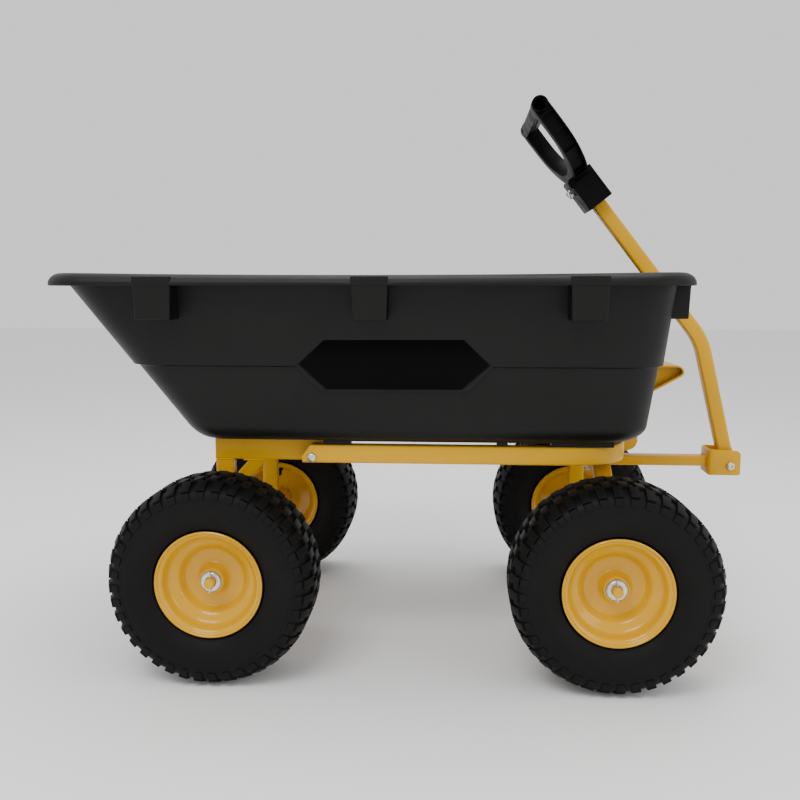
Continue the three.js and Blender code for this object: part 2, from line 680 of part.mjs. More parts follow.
// ---------------------------------------------------------------- pull handle
function buildHandle() {
  const lean = THREE.MathUtils.degToRad(HANDLE.lean);
  const gripLean = THREE.MathUtils.degToRad(GRIP.lean);
  const { x, z } = HANDLE_PIVOT;
  const inSocket = GRIP.socket - 8;
  const route = [
    [x + HANDLE.tail * Math.sin(lean), 0, z - HANDLE.tail * Math.cos(lean)],
    [HANDLE_VERTEX.x, 0, HANDLE_VERTEX.z],
    [GRIP.x - inSocket * Math.sin(gripLean), 0, GRIP.z + inSocket * Math.cos(gripLean)],
  ];
  const stations = bentStations(route, HANDLE.bend, 3);
  const tube = solid(sweep(tubeSection(HANDLE.size, HANDLE.size), stations, Y_AXIS));
  const pinHole = (radius, length) => {
    const hole = new THREE.CylinderGeometry(radius, radius, length, 12).rotateZ(Math.PI / 2);
    hole.translate(0, 0, 40).rotateY(-gripLean);
    return hole.translate(GRIP.x, 0, GRIP.z);
  };
  add("handle_tube", cut(tube, barY(6 + BORE_PLAY, x, z, -20, 20), pinHole(4 + BORE_PLAY, 60)), paint());

  const bolt = joined(
    barY(6, x, z, -CLEVIS.half - 3, CLEVIS.half + 15, 16),
    barY(9.5, x, z, -CLEVIS.half - 8, -CLEVIS.half - 2, 6),
    barY(12, x, z, -CLEVIS.half - 2.6, -CLEVIS.half - GAP, 16),
  );
  add("handle_pivot_bolt", bolt, zinc());
  const nut = solid(barY(9.5, x, z, CLEVIS.half + GAP, CLEVIS.half + 11, 6));
  add("handle_pivot_nut", cut(nut, barY(6 + BORE_PLAY, x, z, 0, 60, 16)), zinc());

  // The grip is built upright, its axis along Z, then leaned back over the tray.
  const leaned = new THREE.Group();
  leaned.position.set(GRIP.x, 0, GRIP.z);
  leaned.rotation.y = -gripLean;
  cart.add(leaned);
  const halfSpan = GRIP.span / 2;
  const barHeight = GRIP.length - 13;
  const outline = [[34, 50], [54, 62], [78, 75], [97, 91], [111, 109], [119, 132], [120, barHeight]];
  const opening = [[14, 76], [46, 82], [66, 93], [83, 105], [93, 119], [99, 136], [99, barHeight - 11]];
  const mirroredX = (points) => points.toReversed().map(([a, b]) => [-a, b]);
  const thickness = [-14, 14];
  const yoke = cut(
    solid(frontProfile([...outline, ...mirroredX(outline)], thickness)),
    frontProfile([...opening, ...mirroredX(opening)], [-20, 20]),
  );
  const cavity = HANDLE.size / 2 + GAP;
  const socket = joined(
    box([-GRIP.thick / 2, GRIP.thick / 2], [-GRIP.width / 2, GRIP.width / 2], [0, GRIP.socket]),
    barY(12.75, 0, barHeight, -halfSpan, halfSpan, 16),
  );
  const grip = cut(
    yoke.add(socket),
    box([-cavity, cavity], [-cavity, cavity], [-1, inSocket + GAP]),
    new THREE.CylinderGeometry(4 + BORE_PLAY, 4 + BORE_PLAY, 60, 12).rotateZ(Math.PI / 2).translate(0, 0, 40),
  );
  add("grip", grip, poly(), leaned);

  const pinEnd = GRIP.thick / 2;
  const pin = joined(
    new THREE.CylinderGeometry(4, 4, GRIP.thick + 11.5, 12).rotateZ(Math.PI / 2).translate(-3.9, 0, 40),
    new THREE.CylinderGeometry(6.5, 6.5, 3, 12).rotateZ(Math.PI / 2).translate(pinEnd + GAP + 1.5, 0, 40),
  );
  const clipX = -pinEnd - 6.6;
  const clipHole = box([clipX - 1.6, clipX + 1.6], [-6, 6], [38.6, 41.4]);
  add("clevis_pin", cut(pin, clipHole), zinc(), leaned);
  const clipBends = [[-22, 40], [16, 40], [22, 45], [16, 50], [-4, 46.6], [-20, 50]];
  const clipRoute = clipBends.map(([side, up]) => [clipX, side, up]);
  const clip = sweep(roundSection(1, 6), bentStations(clipRoute, 3, 2), X_AXIS);
  add("r_clip", clip, zinc(), leaned);
}

// ---------------------------------------------------------------- release latch
// The post stands on the front frame. The lever's hook reaches back over the catch on the tray.
const POST = { rear: 371, front: 397, low: 332, footTop: 371, top: 478, inside: 24, outside: 27 };

function buildLatch() {
  const { x, z } = LEVER_PIVOT;
  const footRear = ARM.crossX + ARM.wide / 2 + GAP;
  const cheek = [
    [footRear, POST.low],
    [POST.front - 17, POST.low],
    [POST.front - 6, POST.low + 5],
    [POST.front, POST.low + 16],
    [POST.front, z - 14],
    [POST.front + 6, z - 5],
    [POST.front + 6, z + 7],
    [POST.front - 3, POST.top],
    [POST.rear + 8, POST.top],
    [POST.rear, z],
    [POST.rear, POST.footTop],
    [footRear, POST.footTop],
  ];
  const post = joined(
    sideProfile(cheek, [POST.inside, POST.outside]),
    sideProfile(cheek, [-POST.outside, -POST.inside]),
    box([POST.front - 3, POST.front], [-POST.outside, POST.outside], [POST.low + 20, z - 20]),
    box([footRear, footRear + 3], [-POST.outside, POST.outside], [POST.low + 6, POST.footTop]),
  );
  add("latch_post", cut(post, barY(4 + BORE_PLAY, x, z, -40, 40)), paint());

  const catchX = POCKET.wall + GAP;
  const tab = [
    [catchX, z - 56],
    [catchX + 3, z - 56],
    [catchX + 3, z - 22],
    [378.5, z - 22],
    [378.5, z - 19],
    [catchX, z - 19],
  ];
  add("tray_catch", sideProfile(tab, [-19, 19]), paint());

  const pinHead = barY(7, x, z, -POST.outside - GAP - 3, -POST.outside - GAP);
  add("latch_pin", joined(barY(4, x, z, -POST.outside - 1, POST.outside + 13), pinHead), zinc());

  const hook = [
    [380.5, z - 16],
    [384, z - 18],
    [400, z - 6],
    [411, z + 24.5],
    [411, z + 27.5],
    [406, z + 27.5],
    [394, z + 9],
    [384, z + 4],
    [380.5, z - 6],
  ];
  const handle = [
    [408, 489.5],
    [458, 489.5],
    [466, 485.5],
    [469.5, 478],
    [466, 471],
    [417, 444],
    [415, 447],
    [462.5, 473.2],
    [466, 478],
    [463.5, 483.4],
    [457, 486.5],
    [408, 486.5],
  ];
  const lever = joined(
    sideProfile(hook, [-20, 20]),
    sideProfile(handle, [-55, 55]),
    barY(9, x, z, -POST.inside + 1, POST.inside - 1),
  );
  add("release_lever", cut(lever, barY(4 + BORE_PLAY, x, z, -60, 60)), paint());

  const turns = 3;
  const stepsPerTurn = 7;
  const coil = Array.from({ length: turns * stepsPerTurn + 1 }, (_, i) => {
    const angle = (2 * Math.PI * i) / stepsPerTurn;
    const y = POST.outside + 2 + (3 * i) / stepsPerTurn;
    return new THREE.Vector3(x + 6 * Math.cos(angle), y, z + 6 * Math.sin(angle));
  });
  const spring = new THREE.ExtrudeGeometry(roundSection(0.8, 5), {
    steps: turns * stepsPerTurn,
    bevelEnabled: false,
    extrudePath: new THREE.CatmullRomCurve3(coil),
  });
  add("latch_spring", spring, zinc());
}

buildTray();
buildRearFrame();
buildFrontFrame();
buildSteering();
buildAxle("front", FRONT_AXLE_X);
buildAxle("rear", REAR_AXLE_X);
for (const { name, sign } of SIDES) {
  buildWheel(`front_${name}`, FRONT_AXLE_X, sign);
  buildWheel(`rear_${name}`, REAR_AXLE_X, sign);
}
buildHandle();
buildLatch();

export default cart;
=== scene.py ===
"""Looks of the garden dump cart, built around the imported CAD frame.

Shapes are worked out in millimetres, in the CAD frame, and scaled to metres as each mesh is made.
X runs forward to the drawbar, +Y is the cart's left, Z is up.
"""

import math

import bmesh
import bpy
from mathutils import Matrix, Vector


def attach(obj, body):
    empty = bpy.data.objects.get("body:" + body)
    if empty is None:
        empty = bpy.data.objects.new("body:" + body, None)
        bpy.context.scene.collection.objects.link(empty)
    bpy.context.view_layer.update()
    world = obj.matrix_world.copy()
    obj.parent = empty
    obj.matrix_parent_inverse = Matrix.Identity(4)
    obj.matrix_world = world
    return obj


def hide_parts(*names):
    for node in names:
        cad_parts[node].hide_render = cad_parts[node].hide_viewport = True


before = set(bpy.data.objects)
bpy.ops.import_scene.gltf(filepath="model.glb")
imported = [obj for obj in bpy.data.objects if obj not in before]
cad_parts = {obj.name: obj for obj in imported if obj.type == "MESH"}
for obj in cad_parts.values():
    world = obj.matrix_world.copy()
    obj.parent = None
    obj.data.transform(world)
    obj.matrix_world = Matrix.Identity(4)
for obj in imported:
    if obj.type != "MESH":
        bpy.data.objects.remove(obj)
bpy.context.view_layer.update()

MM = 0.001
X_AXIS = Vector((1, 0, 0))
Y_AXIS = Vector((0, 1, 0))
Z_AXIS = Vector((0, 0, 1))
SIDES = (("left", 1), ("right", -1))
JOIN, CUT, KEEP = "UNION", "DIFFERENCE", "INTERSECT"


# ------------------------------------------------------------------ camera and stage
CAMERA_PLACE = (0.06635, -1.61113, 0.62413)
CAMERA_YAW = 0.06417
CAMERA_PITCH = 0.12715
CAMERA_LENS = 39.14
FLOOR_HALF = 12
LIT_POINT = (-0.05, 0, 0.45)


def placed(name, data):
    """A new object, linked into the scene."""
    made = bpy.data.objects.new(name, data)
    bpy.context.scene.collection.objects.link(made)
    return made


def make_camera():
    data = bpy.data.cameras.new("camera")
    data.lens = CAMERA_LENS
    data.sensor_width = 36
    camera = placed("camera", data)
    camera.location = CAMERA_PLACE
    camera.rotation_euler = (math.pi / 2 - CAMERA_PITCH, 0, CAMERA_YAW)
    bpy.context.scene.camera = camera


def area_light(name, place, size, power):
    data = bpy.data.lights.new(name, "AREA")
    data.shape = "RECTANGLE"
    data.size, data.size_y = size
    data.energy = power
    light = placed(name, data)
    light.location = place
    aim = Vector(LIT_POINT) - Vector(place)
    light.rotation_euler = aim.to_track_quat("-Z", "Y").to_euler()


def make_stage():
    mesh = bpy.data.meshes.new("floor")
    half = FLOOR_HALF
    corners = [(-half, -half, 0), (half, -half, 0), (half, half, 0), (-half, half, 0)]
    mesh.from_pydata(corners, [], [(0, 1, 2, 3)])
    floor = placed("floor", mesh)
    material = bpy.data.materials.new("floor_pale")
    material.use_nodes = True
    shader = material.node_tree.nodes["Principled BSDF"]
    shader.inputs["Base Color"].default_value = (0.9, 0.9, 0.9, 1)
    shader.inputs["Roughness"].default_value = 0.9
    mesh.materials.append(material)

    world = bpy.data.worlds.new("studio")
    world.use_nodes = True
    background = world.node_tree.nodes["Background"]
    background.inputs["Color"].default_value = (1, 1, 1, 1)
    background.inputs["Strength"].default_value = 1.0
    bpy.context.scene.world = world
    area_light("key", (-0.7, -1.9, 2.6), (1.6, 1.2), 42)
    area_light("fill", (2.2, -1.6, 1.2), (1.4, 1.4), 12)
    area_light("top", (0.0, 0.4, 2.8), (2.4, 1.6), 40)


# ------------------------------------------------------------------ materials
class Finish:
    """A procedural material under construction: texture nodes feeding one Principled shader."""

    def __init__(self, name, slot, metallic=0.0):
        self.material = bpy.data.materials.new(name)
        self.material.use_nodes = True
        self.material["slot"] = slot
        self.tree = self.material.node_tree
        self.shader = self.tree.nodes["Principled BSDF"]
        self.shader.inputs["Metallic"].default_value = metallic
        self.place = self.tree.nodes.new("ShaderNodeTexCoord").outputs["Object"]
        self.normal = None

    def node(self, kind, **values):
        """A shader node with plain values on its inputs; _ in a name stands for a space."""
        made = self.tree.nodes.new(f"ShaderNode{kind}")
        for name, value in values.items():
            made.inputs[name.replace("_", " ")].default_value = value
        return made

    def link(self, source, socket):
        self.tree.links.new(source, socket)

    def noise(self, scale, detail, roughness=0.5, stretch=None):
        texture = self.node("TexNoise", Scale=scale, Detail=detail, Roughness=roughness)
        source = self.place
        if stretch:
            mapping = self.node("Mapping", Scale=stretch)
            self.link(source, mapping.inputs["Vector"])
            source = mapping.outputs["Vector"]
        self.link(source, texture.inputs["Vector"])
        return texture.outputs["Fac"]

    def voronoi(self, scale):
        texture = self.node("TexVoronoi", Scale=scale)
        self.link(self.place, texture.inputs["Vector"])
        return texture.outputs["Distance"]

    def ramp(self, source, low, dark, high, light):
        """Runs from dark to light as source rises from low to high."""
        ramp = self.node("ValToRGB")
        for element, position, colour in zip(ramp.color_ramp.elements, (low, high), (dark, light)):
            element.position = position
            element.color = (*colour, 1)
        self.link(source, ramp.inputs["Fac"])
        return ramp.outputs["Color"]

    def mix(self, factor, first, second, blend="MIX"):
        node = self.node("Mix")
        node.data_type = "RGBA"
        node.blend_type = blend
        for source, number in ((factor, 0), (first, 6), (second, 7)):
            socket = node.inputs[number]
            if isinstance(source, tuple):
                socket.default_value = (*source, 1)
            elif isinstance(source, float):
                socket.default_value = source
            else:
                self.link(source, socket)
        return node.outputs[2]

    def colour(self, source):
        self.link(source, self.shader.inputs["Base Color"])

    def rough(self, source, low, high):
        node = self.node("MapRange", From_Min=0.3, From_Max=0.7, To_Min=low, To_Max=high)
        self.link(source, node.inputs["Value"])
        self.link(node.outputs["Result"], self.shader.inputs["Roughness"])

    def bump(self, source, strength, distance):
        node = self.node("Bump", Strength=strength, Distance=distance)
        self.link(source, node.inputs["Height"])
        if self.normal is not None:
            self.link(self.normal, node.inputs["Normal"])
        self.normal = node.outputs["Normal"]
        self.link(self.normal, self.shader.inputs["Normal"])

    def coat(self, weight, roughness):
        self.shader.inputs["Coat Weight"].default_value = weight
        self.shader.inputs["Coat Roughness"].default_value = roughness

    def shine(self, level):
        self.shader.inputs["Specular IOR Level"].default_value = level


def grey(level):
    return (level, level, level)


def yellow_paint(name, smooth, rough, clear):
    """Powder coat: faint orange peel and slow changes of tone."""
    finish = Finish(name, "yellow_paint")
    tone = finish.ramp(finish.noise(5, 3), 0.3, (0.62, 0.322, 0.0), 0.7, (0.67, 0.348, 0.0))
    specks = finish.ramp(finish.noise(420, 2), 0.3, grey(0.94), 0.6, grey(1))
    finish.colour(finish.mix(1.0, tone, specks, "MULTIPLY"))
    finish.rough(finish.noise(14, 5), smooth, rough)
    finish.bump(finish.noise(650, 2), 0.1, 0.0004)
    finish.shine(0.2)
    finish.coat(clear, 0.08)
    return finish.material


def tray_poly():
    """Charcoal moulded polyethylene: pebbled grain, faint flow marks and scuffs."""
    finish = Finish("tray_polyethylene", "tray_poly")
    dark, light = (0.0034, 0.0034, 0.0031), (0.005, 0.0049, 0.0045)
    base = finish.ramp(finish.noise(3, 4), 0.3, dark, 0.7, light)
    scuff = finish.ramp(finish.noise(22, 8, 0.7, (1, 1, 5)), 0.62, grey(0), 0.8, grey(0.5))
    finish.colour(finish.mix(scuff, base, (0.009, 0.009, 0.0083)))
    finish.rough(finish.noise(9, 6, 0.6), 0.4, 0.52)
    finish.shine(0.2)
    finish.bump(finish.voronoi(900), 0.22, 0.0003)
    finish.bump(finish.noise(60, 3), 0.05, 0.0008)
    return finish.material


def gloss_panel():
    finish = Finish("panel_gloss_black", "panel_gloss")
    finish.colour(finish.ramp(finish.noise(8, 3), 0.3, (0.0002, 0.0002, 0.0003), 0.7, grey(0.0004)))
    finish.rough(finish.noise(30, 5), 0.08, 0.18)
    finish.bump(finish.noise(12, 2), 0.03, 0.001)
    finish.shine(0.05)
    return finish.material


def grip_plastic(name, dark, light):
    finish = Finish(name, "grip_plastic")
    light_tone = (light, light, light * 0.96)
    finish.colour(finish.ramp(finish.noise(18, 5), 0.3, grey(dark), 0.75, light_tone))
    finish.rough(finish.noise(25, 5), 0.38, 0.55)
    finish.bump(finish.voronoi(1300), 0.2, 0.0002)
    finish.shine(0.08)
    return finish.material


def tyre_rubber():
    finish = Finish("tyre_rubber", "tyre")
    base = finish.ramp(finish.noise(9, 5), 0.3, grey(0.0022), 0.7, (0.0036, 0.0036, 0.0034))
    bloom = finish.ramp(finish.noise(35, 8, 0.7), 0.6, grey(0), 0.8, grey(0.4))
    finish.colour(finish.mix(bloom, base, (0.0065, 0.0064, 0.006)))
    finish.rough(finish.noise(20, 6), 0.5, 0.65)
    finish.shine(0.15)
    finish.bump(finish.noise(700, 3), 0.18, 0.0004)
    return finish.material


def zinc_plate():
    finish = Finish("zinc_plated_steel", "zinc", 1.0)
    dark, light = (0.52, 0.53, 0.54), (0.72, 0.72, 0.7)
    finish.colour(finish.ramp(finish.noise(260, 3), 0.3, dark, 0.7, light))
    finish.rough(finish.noise(420, 4), 0.2, 0.4)
    finish.bump(finish.noise(900, 3), 0.1, 0.0002)
    return finish.material


def bearing_steel():
    finish = Finish("bearing_steel", "bearing_steel", 1.0)
    finish.colour(finish.ramp(finish.noise(180, 4), 0.3, grey(0.3), 0.7, (0.46, 0.46, 0.45)))
    finish.rough(finish.noise(300, 4), 0.22, 0.4)
    return finish.material


def seal_rubber():
    finish = Finish("bearing_seal", "bearing_steel")
    finish.colour(finish.ramp(finish.noise(90, 4), 0.3, grey(0.012), 0.7, grey(0.03)))
    finish.rough(finish.noise(120, 4), 0.4, 0.55)
    return finish.material


# ------------------------------------------------------------------ mesh helpers
def loop_of(bm, points):
    return [bm.verts.new(Vector(point) * MM) for point in points]


def bridge(bm, first, second):
    count = len(first)
    for i in range(count):
        j = (i + 1) % count
        bm.faces.new((first[i], first[j], second[j], second[i]))


def skin(bm, rings):
    """Faces between neighbouring rings, and a cap on each end."""
    for first, second in zip(rings, rings[1:]):
        bridge(bm, first, second)
    bm.faces.new(rings[0])
    bm.faces.new(rings[-1])


def shape(add, *details):
    """A new bmesh with one shape in it; add is lathe, prism, block, sweep, a tube or the like."""
    bm = bmesh.new()
    add(bm, *details)
    return bm


def soften(bm, width, sharp, segments=2):
    """Rounds every edge that turns more than sharp degrees."""
    edges = [e for e in bm.edges if e.is_manifold and e.calc_face_angle(0) > math.radians(sharp)]
    bmesh.ops.bevel(
        bm, geom=edges, offset=width * MM, segments=segments, profile=0.6,
        affect="EDGES", clamp_overlap=True,
    )


def raw_mesh(name, bm):
    mesh = bpy.data.meshes.new(name)
    bm.to_mesh(mesh)
    bm.free()
    return mesh


def mesh_of(name, bm, sharp=34):
    bmesh.ops.recalc_face_normals(bm, faces=bm.faces)
    for face in bm.faces:
        face.smooth = True
    for edge in bm.edges:
        edge.smooth = edge.is_manifold and edge.calc_face_angle(0) < math.radians(sharp)
    return raw_mesh(name, bm)


def show(name, mesh, material, body, replaces, location=(0, 0, 0), turn=0.0):
    if not mesh.materials:
        mesh.materials.append(material)
    piece = placed(name, mesh)
    piece.location = Vector(location) * MM
    piece.rotation_euler = (0, 0, turn)
    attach(piece, body)
    if replaces:
        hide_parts(*replaces)
    return piece


def make(name, bm, material, body, replaces=(), sharp=34):
    return show(name, mesh_of(name, bm, sharp), material, body, replaces)


def square_to(axis):
    """Two directions square to an axis and to each other."""
    across = X_AXIS if abs(axis.x) < 0.9 else Y_AXIS
    across = (across - axis * across.dot(axis)).normalized()
    return across, axis.cross(across)


def lathe(bm, outline, sides, centre=(0, 0, 0), axis=Y_AXIS):
    """Turns a closed outline of (radius, height) round an axis; a radius of 0 lies on the axis."""
    across, beyond = square_to(axis)
    rows = []
    for radius, height in outline:
        if radius < 1e-6:
            rows.append([bm.verts.new((Vector(centre) + axis * height) * MM)])
            continue
        row = []
        for i in range(sides):
            angle = 2 * math.pi * i / sides
            spoke = across * math.cos(angle) + beyond * math.sin(angle)
            row.append(bm.verts.new((Vector(centre) + spoke * radius + axis * height) * MM))
        rows.append(row)
    pairs = list(zip(rows, rows[1:] + rows[:1]))
    for first, second in pairs:
        if len(first) == 1 and len(second) == 1:
            continue
        for i in range(sides):
            j = (i + 1) % sides
            if len(first) == 1:
                bm.faces.new((first[0], second[j], second[i]))
            elif len(second) == 1:
                bm.faces.new((first[i], first[j], second[0]))
            else:
                bm.faces.new((first[i], first[j], second[j], second[i]))


def rounded_rectangle(across, along, radius):
    steps = 4
    points = []
    for quarter, (sx, sy) in enumerate(((1, -1), (1, 1), (-1, 1), (-1, -1))):
        cx = sx * (across / 2 - radius)
        cy = sy * (along / 2 - radius)
        for step in range(steps + 1):
            angle = math.pi / 2 * (quarter - 1 + step / steps)
            points.append((cx + radius * math.cos(angle), cy + radius * math.sin(angle)))
    return points


def circle(radius, sides):
    steps = [2 * math.pi * i / sides for i in range(sides)]
    return [(radius * math.cos(a), radius * math.sin(a)) for a in steps]


def bent_route(corners, radius, arc_steps):
    """Points and directions along straight runs joined by arcs."""
    points = [Vector(c) for c in corners]
    route = [(points[0], (points[1] - points[0]).normalized())]
    for before, corner, after in zip(points, points[1:], points[2:]):
        way_in = (corner - before).normalized()
        way_out = (after - corner).normalized()
        turn = way_in.angle(way_out)
        axis = way_in.cross(way_out).normalized()
        start = corner - way_in * radius * math.tan(turn / 2)
        centre = start + axis.cross(way_in) * radius
        for step in range(arc_steps + 1):
            spin = Matrix.Rotation(turn * step / arc_steps, 3, axis)
            route.append((centre + spin @ (start - centre), spin @ way_in))
    route.append((points[-1], (points[-1] - points[-2]).normalized()))
    return route


def sweep(bm, section, route, side, hole=None):
    """Carries a section along a planar route; with a hole it is a tube with open ends."""
    def rings(outline):
        for point, way in route:
            normal = side.cross(way)
            yield loop_of(bm, [point + normal * a + side * b for a, b in outline])

    outer = list(rings(section))
    if hole is None:
        skin(bm, outer)
        return
    for first, second in zip(outer, outer[1:]):
        bridge(bm, first, second)
    inner = list(rings(hole))
    for first, second in zip(inner, inner[1:]):
        bridge(bm, second, first)
    bridge(bm, inner[0], outer[0])
    bridge(bm, outer[-1], inner[-1])


def coil(bm, points, radius):
    """A round wire along a line of points that leaves its plane."""
    points = [Vector(p) for p in points]
    rings = []
    for i, point in enumerate(points):
        way = (points[min(i + 1, len(points) - 1)] - points[max(i - 1, 0)]).normalized()
        across = way.cross(Y_AXIS).normalized()
        beyond = way.cross(across)
        section = circle(radius, 10)
        rings.append(loop_of(bm, [point + across * a + beyond * b for a, b in section]))
    skin(bm, rings)


TUBE_WALL = 2.0


def square_tube(bm, in_plane, sideways, route, side, radius=3.5):
    section = rounded_rectangle(in_plane, sideways, radius)
    hole = rounded_rectangle(in_plane - 2 * TUBE_WALL, sideways - 2 * TUBE_WALL, radius - 1.5)
    sweep(bm, section, route, side, hole)


def straight_tube(bm, start, end, in_plane, sideways, side):
    square_tube(bm, in_plane, sideways, bent_route([start, end], 1, 1), side)


def prism(bm, outline, to_point, low, high):
    """A flat outline carried from one depth to another; to_point(a, b, depth) places it."""
    bottom = loop_of(bm, [to_point(a, b, low) for a, b in outline])
    top = loop_of(bm, [to_point(a, b, high) for a, b in outline])
    skin(bm, [bottom, top])


def side_point(a, b, depth):
    return Vector((a, depth, b))


def front_point(a, b, depth):
    return Vector((depth, a, b))


def top_point(a, b, depth):
    return Vector((a, b, depth))


def block(bm, x, y, z):
    outline = [(x[0], y[0]), (x[1], y[0]), (x[1], y[1]), (x[0], y[1])]
    prism(bm, outline, top_point, z[0], z[1])


def span(sign, near, far):
    """The run from near to far on the left, or its mirror image on the right, in rising order."""
    return (near, far) if sign > 0 else (-far, -near)


def flipped(points):
    """The mirror image of (radius, y) points, in the opposite order."""
    return [(radius, -y) for radius, y in reversed(points)]


def rod(radius, low, high, sides, centre=(0, 0, 0), axis=Y_AXIS):
    """A plain cylinder between two heights along its axis, mostly to cut with."""
    return shape(lathe, [(0, low), (radius, low), (radius, high), (0, high)], sides, centre, axis)


def bevelled(bm, width, sharp=30, segments=2):
    """Rounds the sharp edges of a closed shape and returns it."""
    bmesh.ops.recalc_face_normals(bm, faces=bm.faces)
    soften(bm, width, sharp, segments)
    return bm


def merged(target, source):
    """Adds one bmesh's shells to another."""
    holder = raw_mesh("holder", source)
    target.from_mesh(holder)
    bpy.data.meshes.remove(holder)
    return target


def temporary(name, bm):
    bmesh.ops.recalc_face_normals(bm, faces=bm.faces)
    return placed(name, raw_mesh(name, bm))


def combine(base, tools):
    """Joins and cuts closed shapes: tools is a list of (operation, bmesh). Returns a new bmesh."""
    body = temporary("body", base)
    helpers = []
    for number, (operation, tool) in enumerate(tools):
        helper = temporary(f"helper_{number}", tool)
        helpers.append(helper)
        modifier = body.modifiers.new(f"combine_{number}", "BOOLEAN")
        modifier.operation = operation
        modifier.object = helper
        modifier.solver = "EXACT"
    evaluated = body.evaluated_get(bpy.context.evaluated_depsgraph_get())
    result = bmesh.new()
    result.from_mesh(evaluated.to_mesh())
    evaluated.to_mesh_clear()
    for spare in [body, *helpers]:
        mesh = spare.data
        bpy.data.objects.remove(spare)
        bpy.data.meshes.remove(mesh)
    bmesh.ops.remove_doubles(result, verts=result.verts, dist=1e-6)
    return result


def bar(bm, radius, start, end):
    """A round bar between two points with chamfered ends."""
    chamfer = 0.8
    start, end = Vector(start), Vector(end)
    length = (end - start).length
    outline = [(0, 0), (radius - chamfer, 0), (radius, chamfer), (radius, length - chamfer)]
    outline += [(radius - chamfer, length), (0, length)]
    lathe(bm, outline, 28, start, (end - start).normalized())


def bead(bm, points, radius):
    """A weld bead along a polyline: a low rippled rope."""
    points = [Vector(p) for p in points]
    for start, end in zip(points, points[1:]):
        way = (end - start).normalized()
        length = (end - start).length
        steps = max(4, int(length / 1.1))
        outline = [(0, -radius * 0.6)]
        for step in range(steps + 1):
            ripple = 1 + 0.16 * math.sin(step * 2 * math.pi / 3.0)
            outline.append((radius * ripple * 0.85, length * step / steps))
        outline.append((0, length + radius * 0.6))
        lathe(bm, outline, 8, start, way)


def hexagon(bm, centre, axis, radius, height):
    """A hexagonal head or nut with chamfered corners."""
    across, beyond = square_to(axis)
    rings = []
    for level, scale in ((0, 0.93), (height * 0.12, 1), (height * 0.85, 1), (height, 0.9)):
        ring = []
        for i in range(6):
            angle = math.pi / 3 * i
            spoke = across * math.cos(angle) + beyond * math.sin(angle)
            ring.append(Vector(centre) + spoke * radius * scale + axis * level)
        rings.append(loop_of(bm, ring))
    skin(bm, rings)


def threaded(bm, radius, start, end):
    """A screw thread's look: rings at the thread pitch with a chamfered tip."""
    pitch = 1.5
    start, end = Vector(start), Vector(end)
    length = (end - start).length
    outline = [(0, 0), (radius, 0)]
    for i in range(int(length / pitch)):
        outline.append((radius, pitch * (i + 0.3)))
        outline.append((radius * 0.9, pitch * (i + 0.8)))
    outline += [(radius * 0.88, length), (0, length)]
    lathe(bm, outline, 24, start, (end - start).normalized())


def washer(bm, inner, outer, thick, centre, axis):
    edge = 0.35
    outline = [(inner, edge), (inner + edge, 0), (outer - edge, 0), (outer, edge)]
    outline += [(outer, thick - edge), (outer - edge, thick)]
    outline += [(inner + edge, thick), (inner, thick - edge)]
    lathe(bm, outline, 36, centre, axis)


# ------------------------------------------------------------------ tray
TRAY_FLOOR = 378
TRAY_WALL = 4.5
LEDGE_LOW, LEDGE, LEDGE_HIGH = 502, 503, 504
WALL_TOP = 628
RIM_TOP = 645
RIM_LOW = 629
RIM_REAR, RIM_FRONT, RIM_HALF, RIM_CORNER = -583, 433, 317.5, 82
RIM_ROUND = 22
RIM_DROP = 14
POCKET_WALL, POCKET_LIP = 362.5, 369
POCKET_HALF, POCKET_SIDE = 132, 150
WALL_LEAN = 0.165
SIDE_TABS = ((-423, -364), (-91, -35), (234, 291))
FRONT_TAB = (157, 217)
TAB_LOW = 577
TAB_HIGH = 642.5
PANEL = ((-182, 507), (-141, 545), (80, 546), (121, 506), (77, 467), (-139, 466))
SIDE_TAB_WALL, FRONT_TAB_WALL = (269, 280), (401.5, 409)
FOOT_RIBS = ((-150, -105), (134, 152), (222, 322))  # rest on the front frame
FLOOR_BEADS = ((-104.5, 133.5), (152.5, 221.5))
TRAY_BOLTS = {
    "tray_bolt_rear_left": (-295, 176),
    "tray_bolt_rear_right": (-295, -176),
    "tray_bolt_front_left": (-195, 176),
    "tray_bolt_front_right": (-195, -176),
}
CORNER_TOP = 408  # where the rounded foot of the walls ends


def side_at(z):
    """Half width of the tray's outside at one height of its wall."""
    if z > LEDGE:
        return 259 + (z - LEDGE_HIGH) * WALL_LEAN
    return 253.5 - (LEDGE_LOW - z) * WALL_LEAN


def tray_level(z):
    """Rear, front, half width and corner radius of the tray's outside at one height."""
    if z < CORNER_TOP:
        share = (z - TRAY_FLOOR) / (CORNER_TOP - TRAY_FLOOR)
        spread = math.sin(math.acos(1 - share))
        rear = -345 - 37.4 * math.sqrt(share) - 3.6 * share
        return rear, 333 + 45 * spread, 213 + 25 * spread, 40 + 14 * spread
    if z <= LEDGE:
        up = (z - CORNER_TOP) / (LEDGE_LOW - CORNER_TOP)
        return -386 - 70 * up, 378 + 11.5 * up, side_at(z), 54 + 2 * up
    up = (z - LEDGE_HIGH) / (WALL_TOP - LEDGE_HIGH)
    return -464 - 92.5 * up, 396.5 + 12.5 * up, side_at(z), 60 + 4 * up


def grown(level, by):
    """A level's sizes moved outwards, or inwards where by is negative."""
    rear, front, half, corner = level
    return rear - by, front + by, half + by, corner + by


def along(start, end, parts):
    """Points from start up to, but not including, end."""
    return [tuple(a + (b - a) * i / parts for a, b in zip(start, end)) for i in range(parts)]


def rim_rise(x, y):
    """The rim curves gently up towards both ends, except across the pocket."""
    if x > 0 and abs(y) < POCKET_SIDE + 1:
        return 0
    return 4.5 * ((x + 75) / 508) ** 2


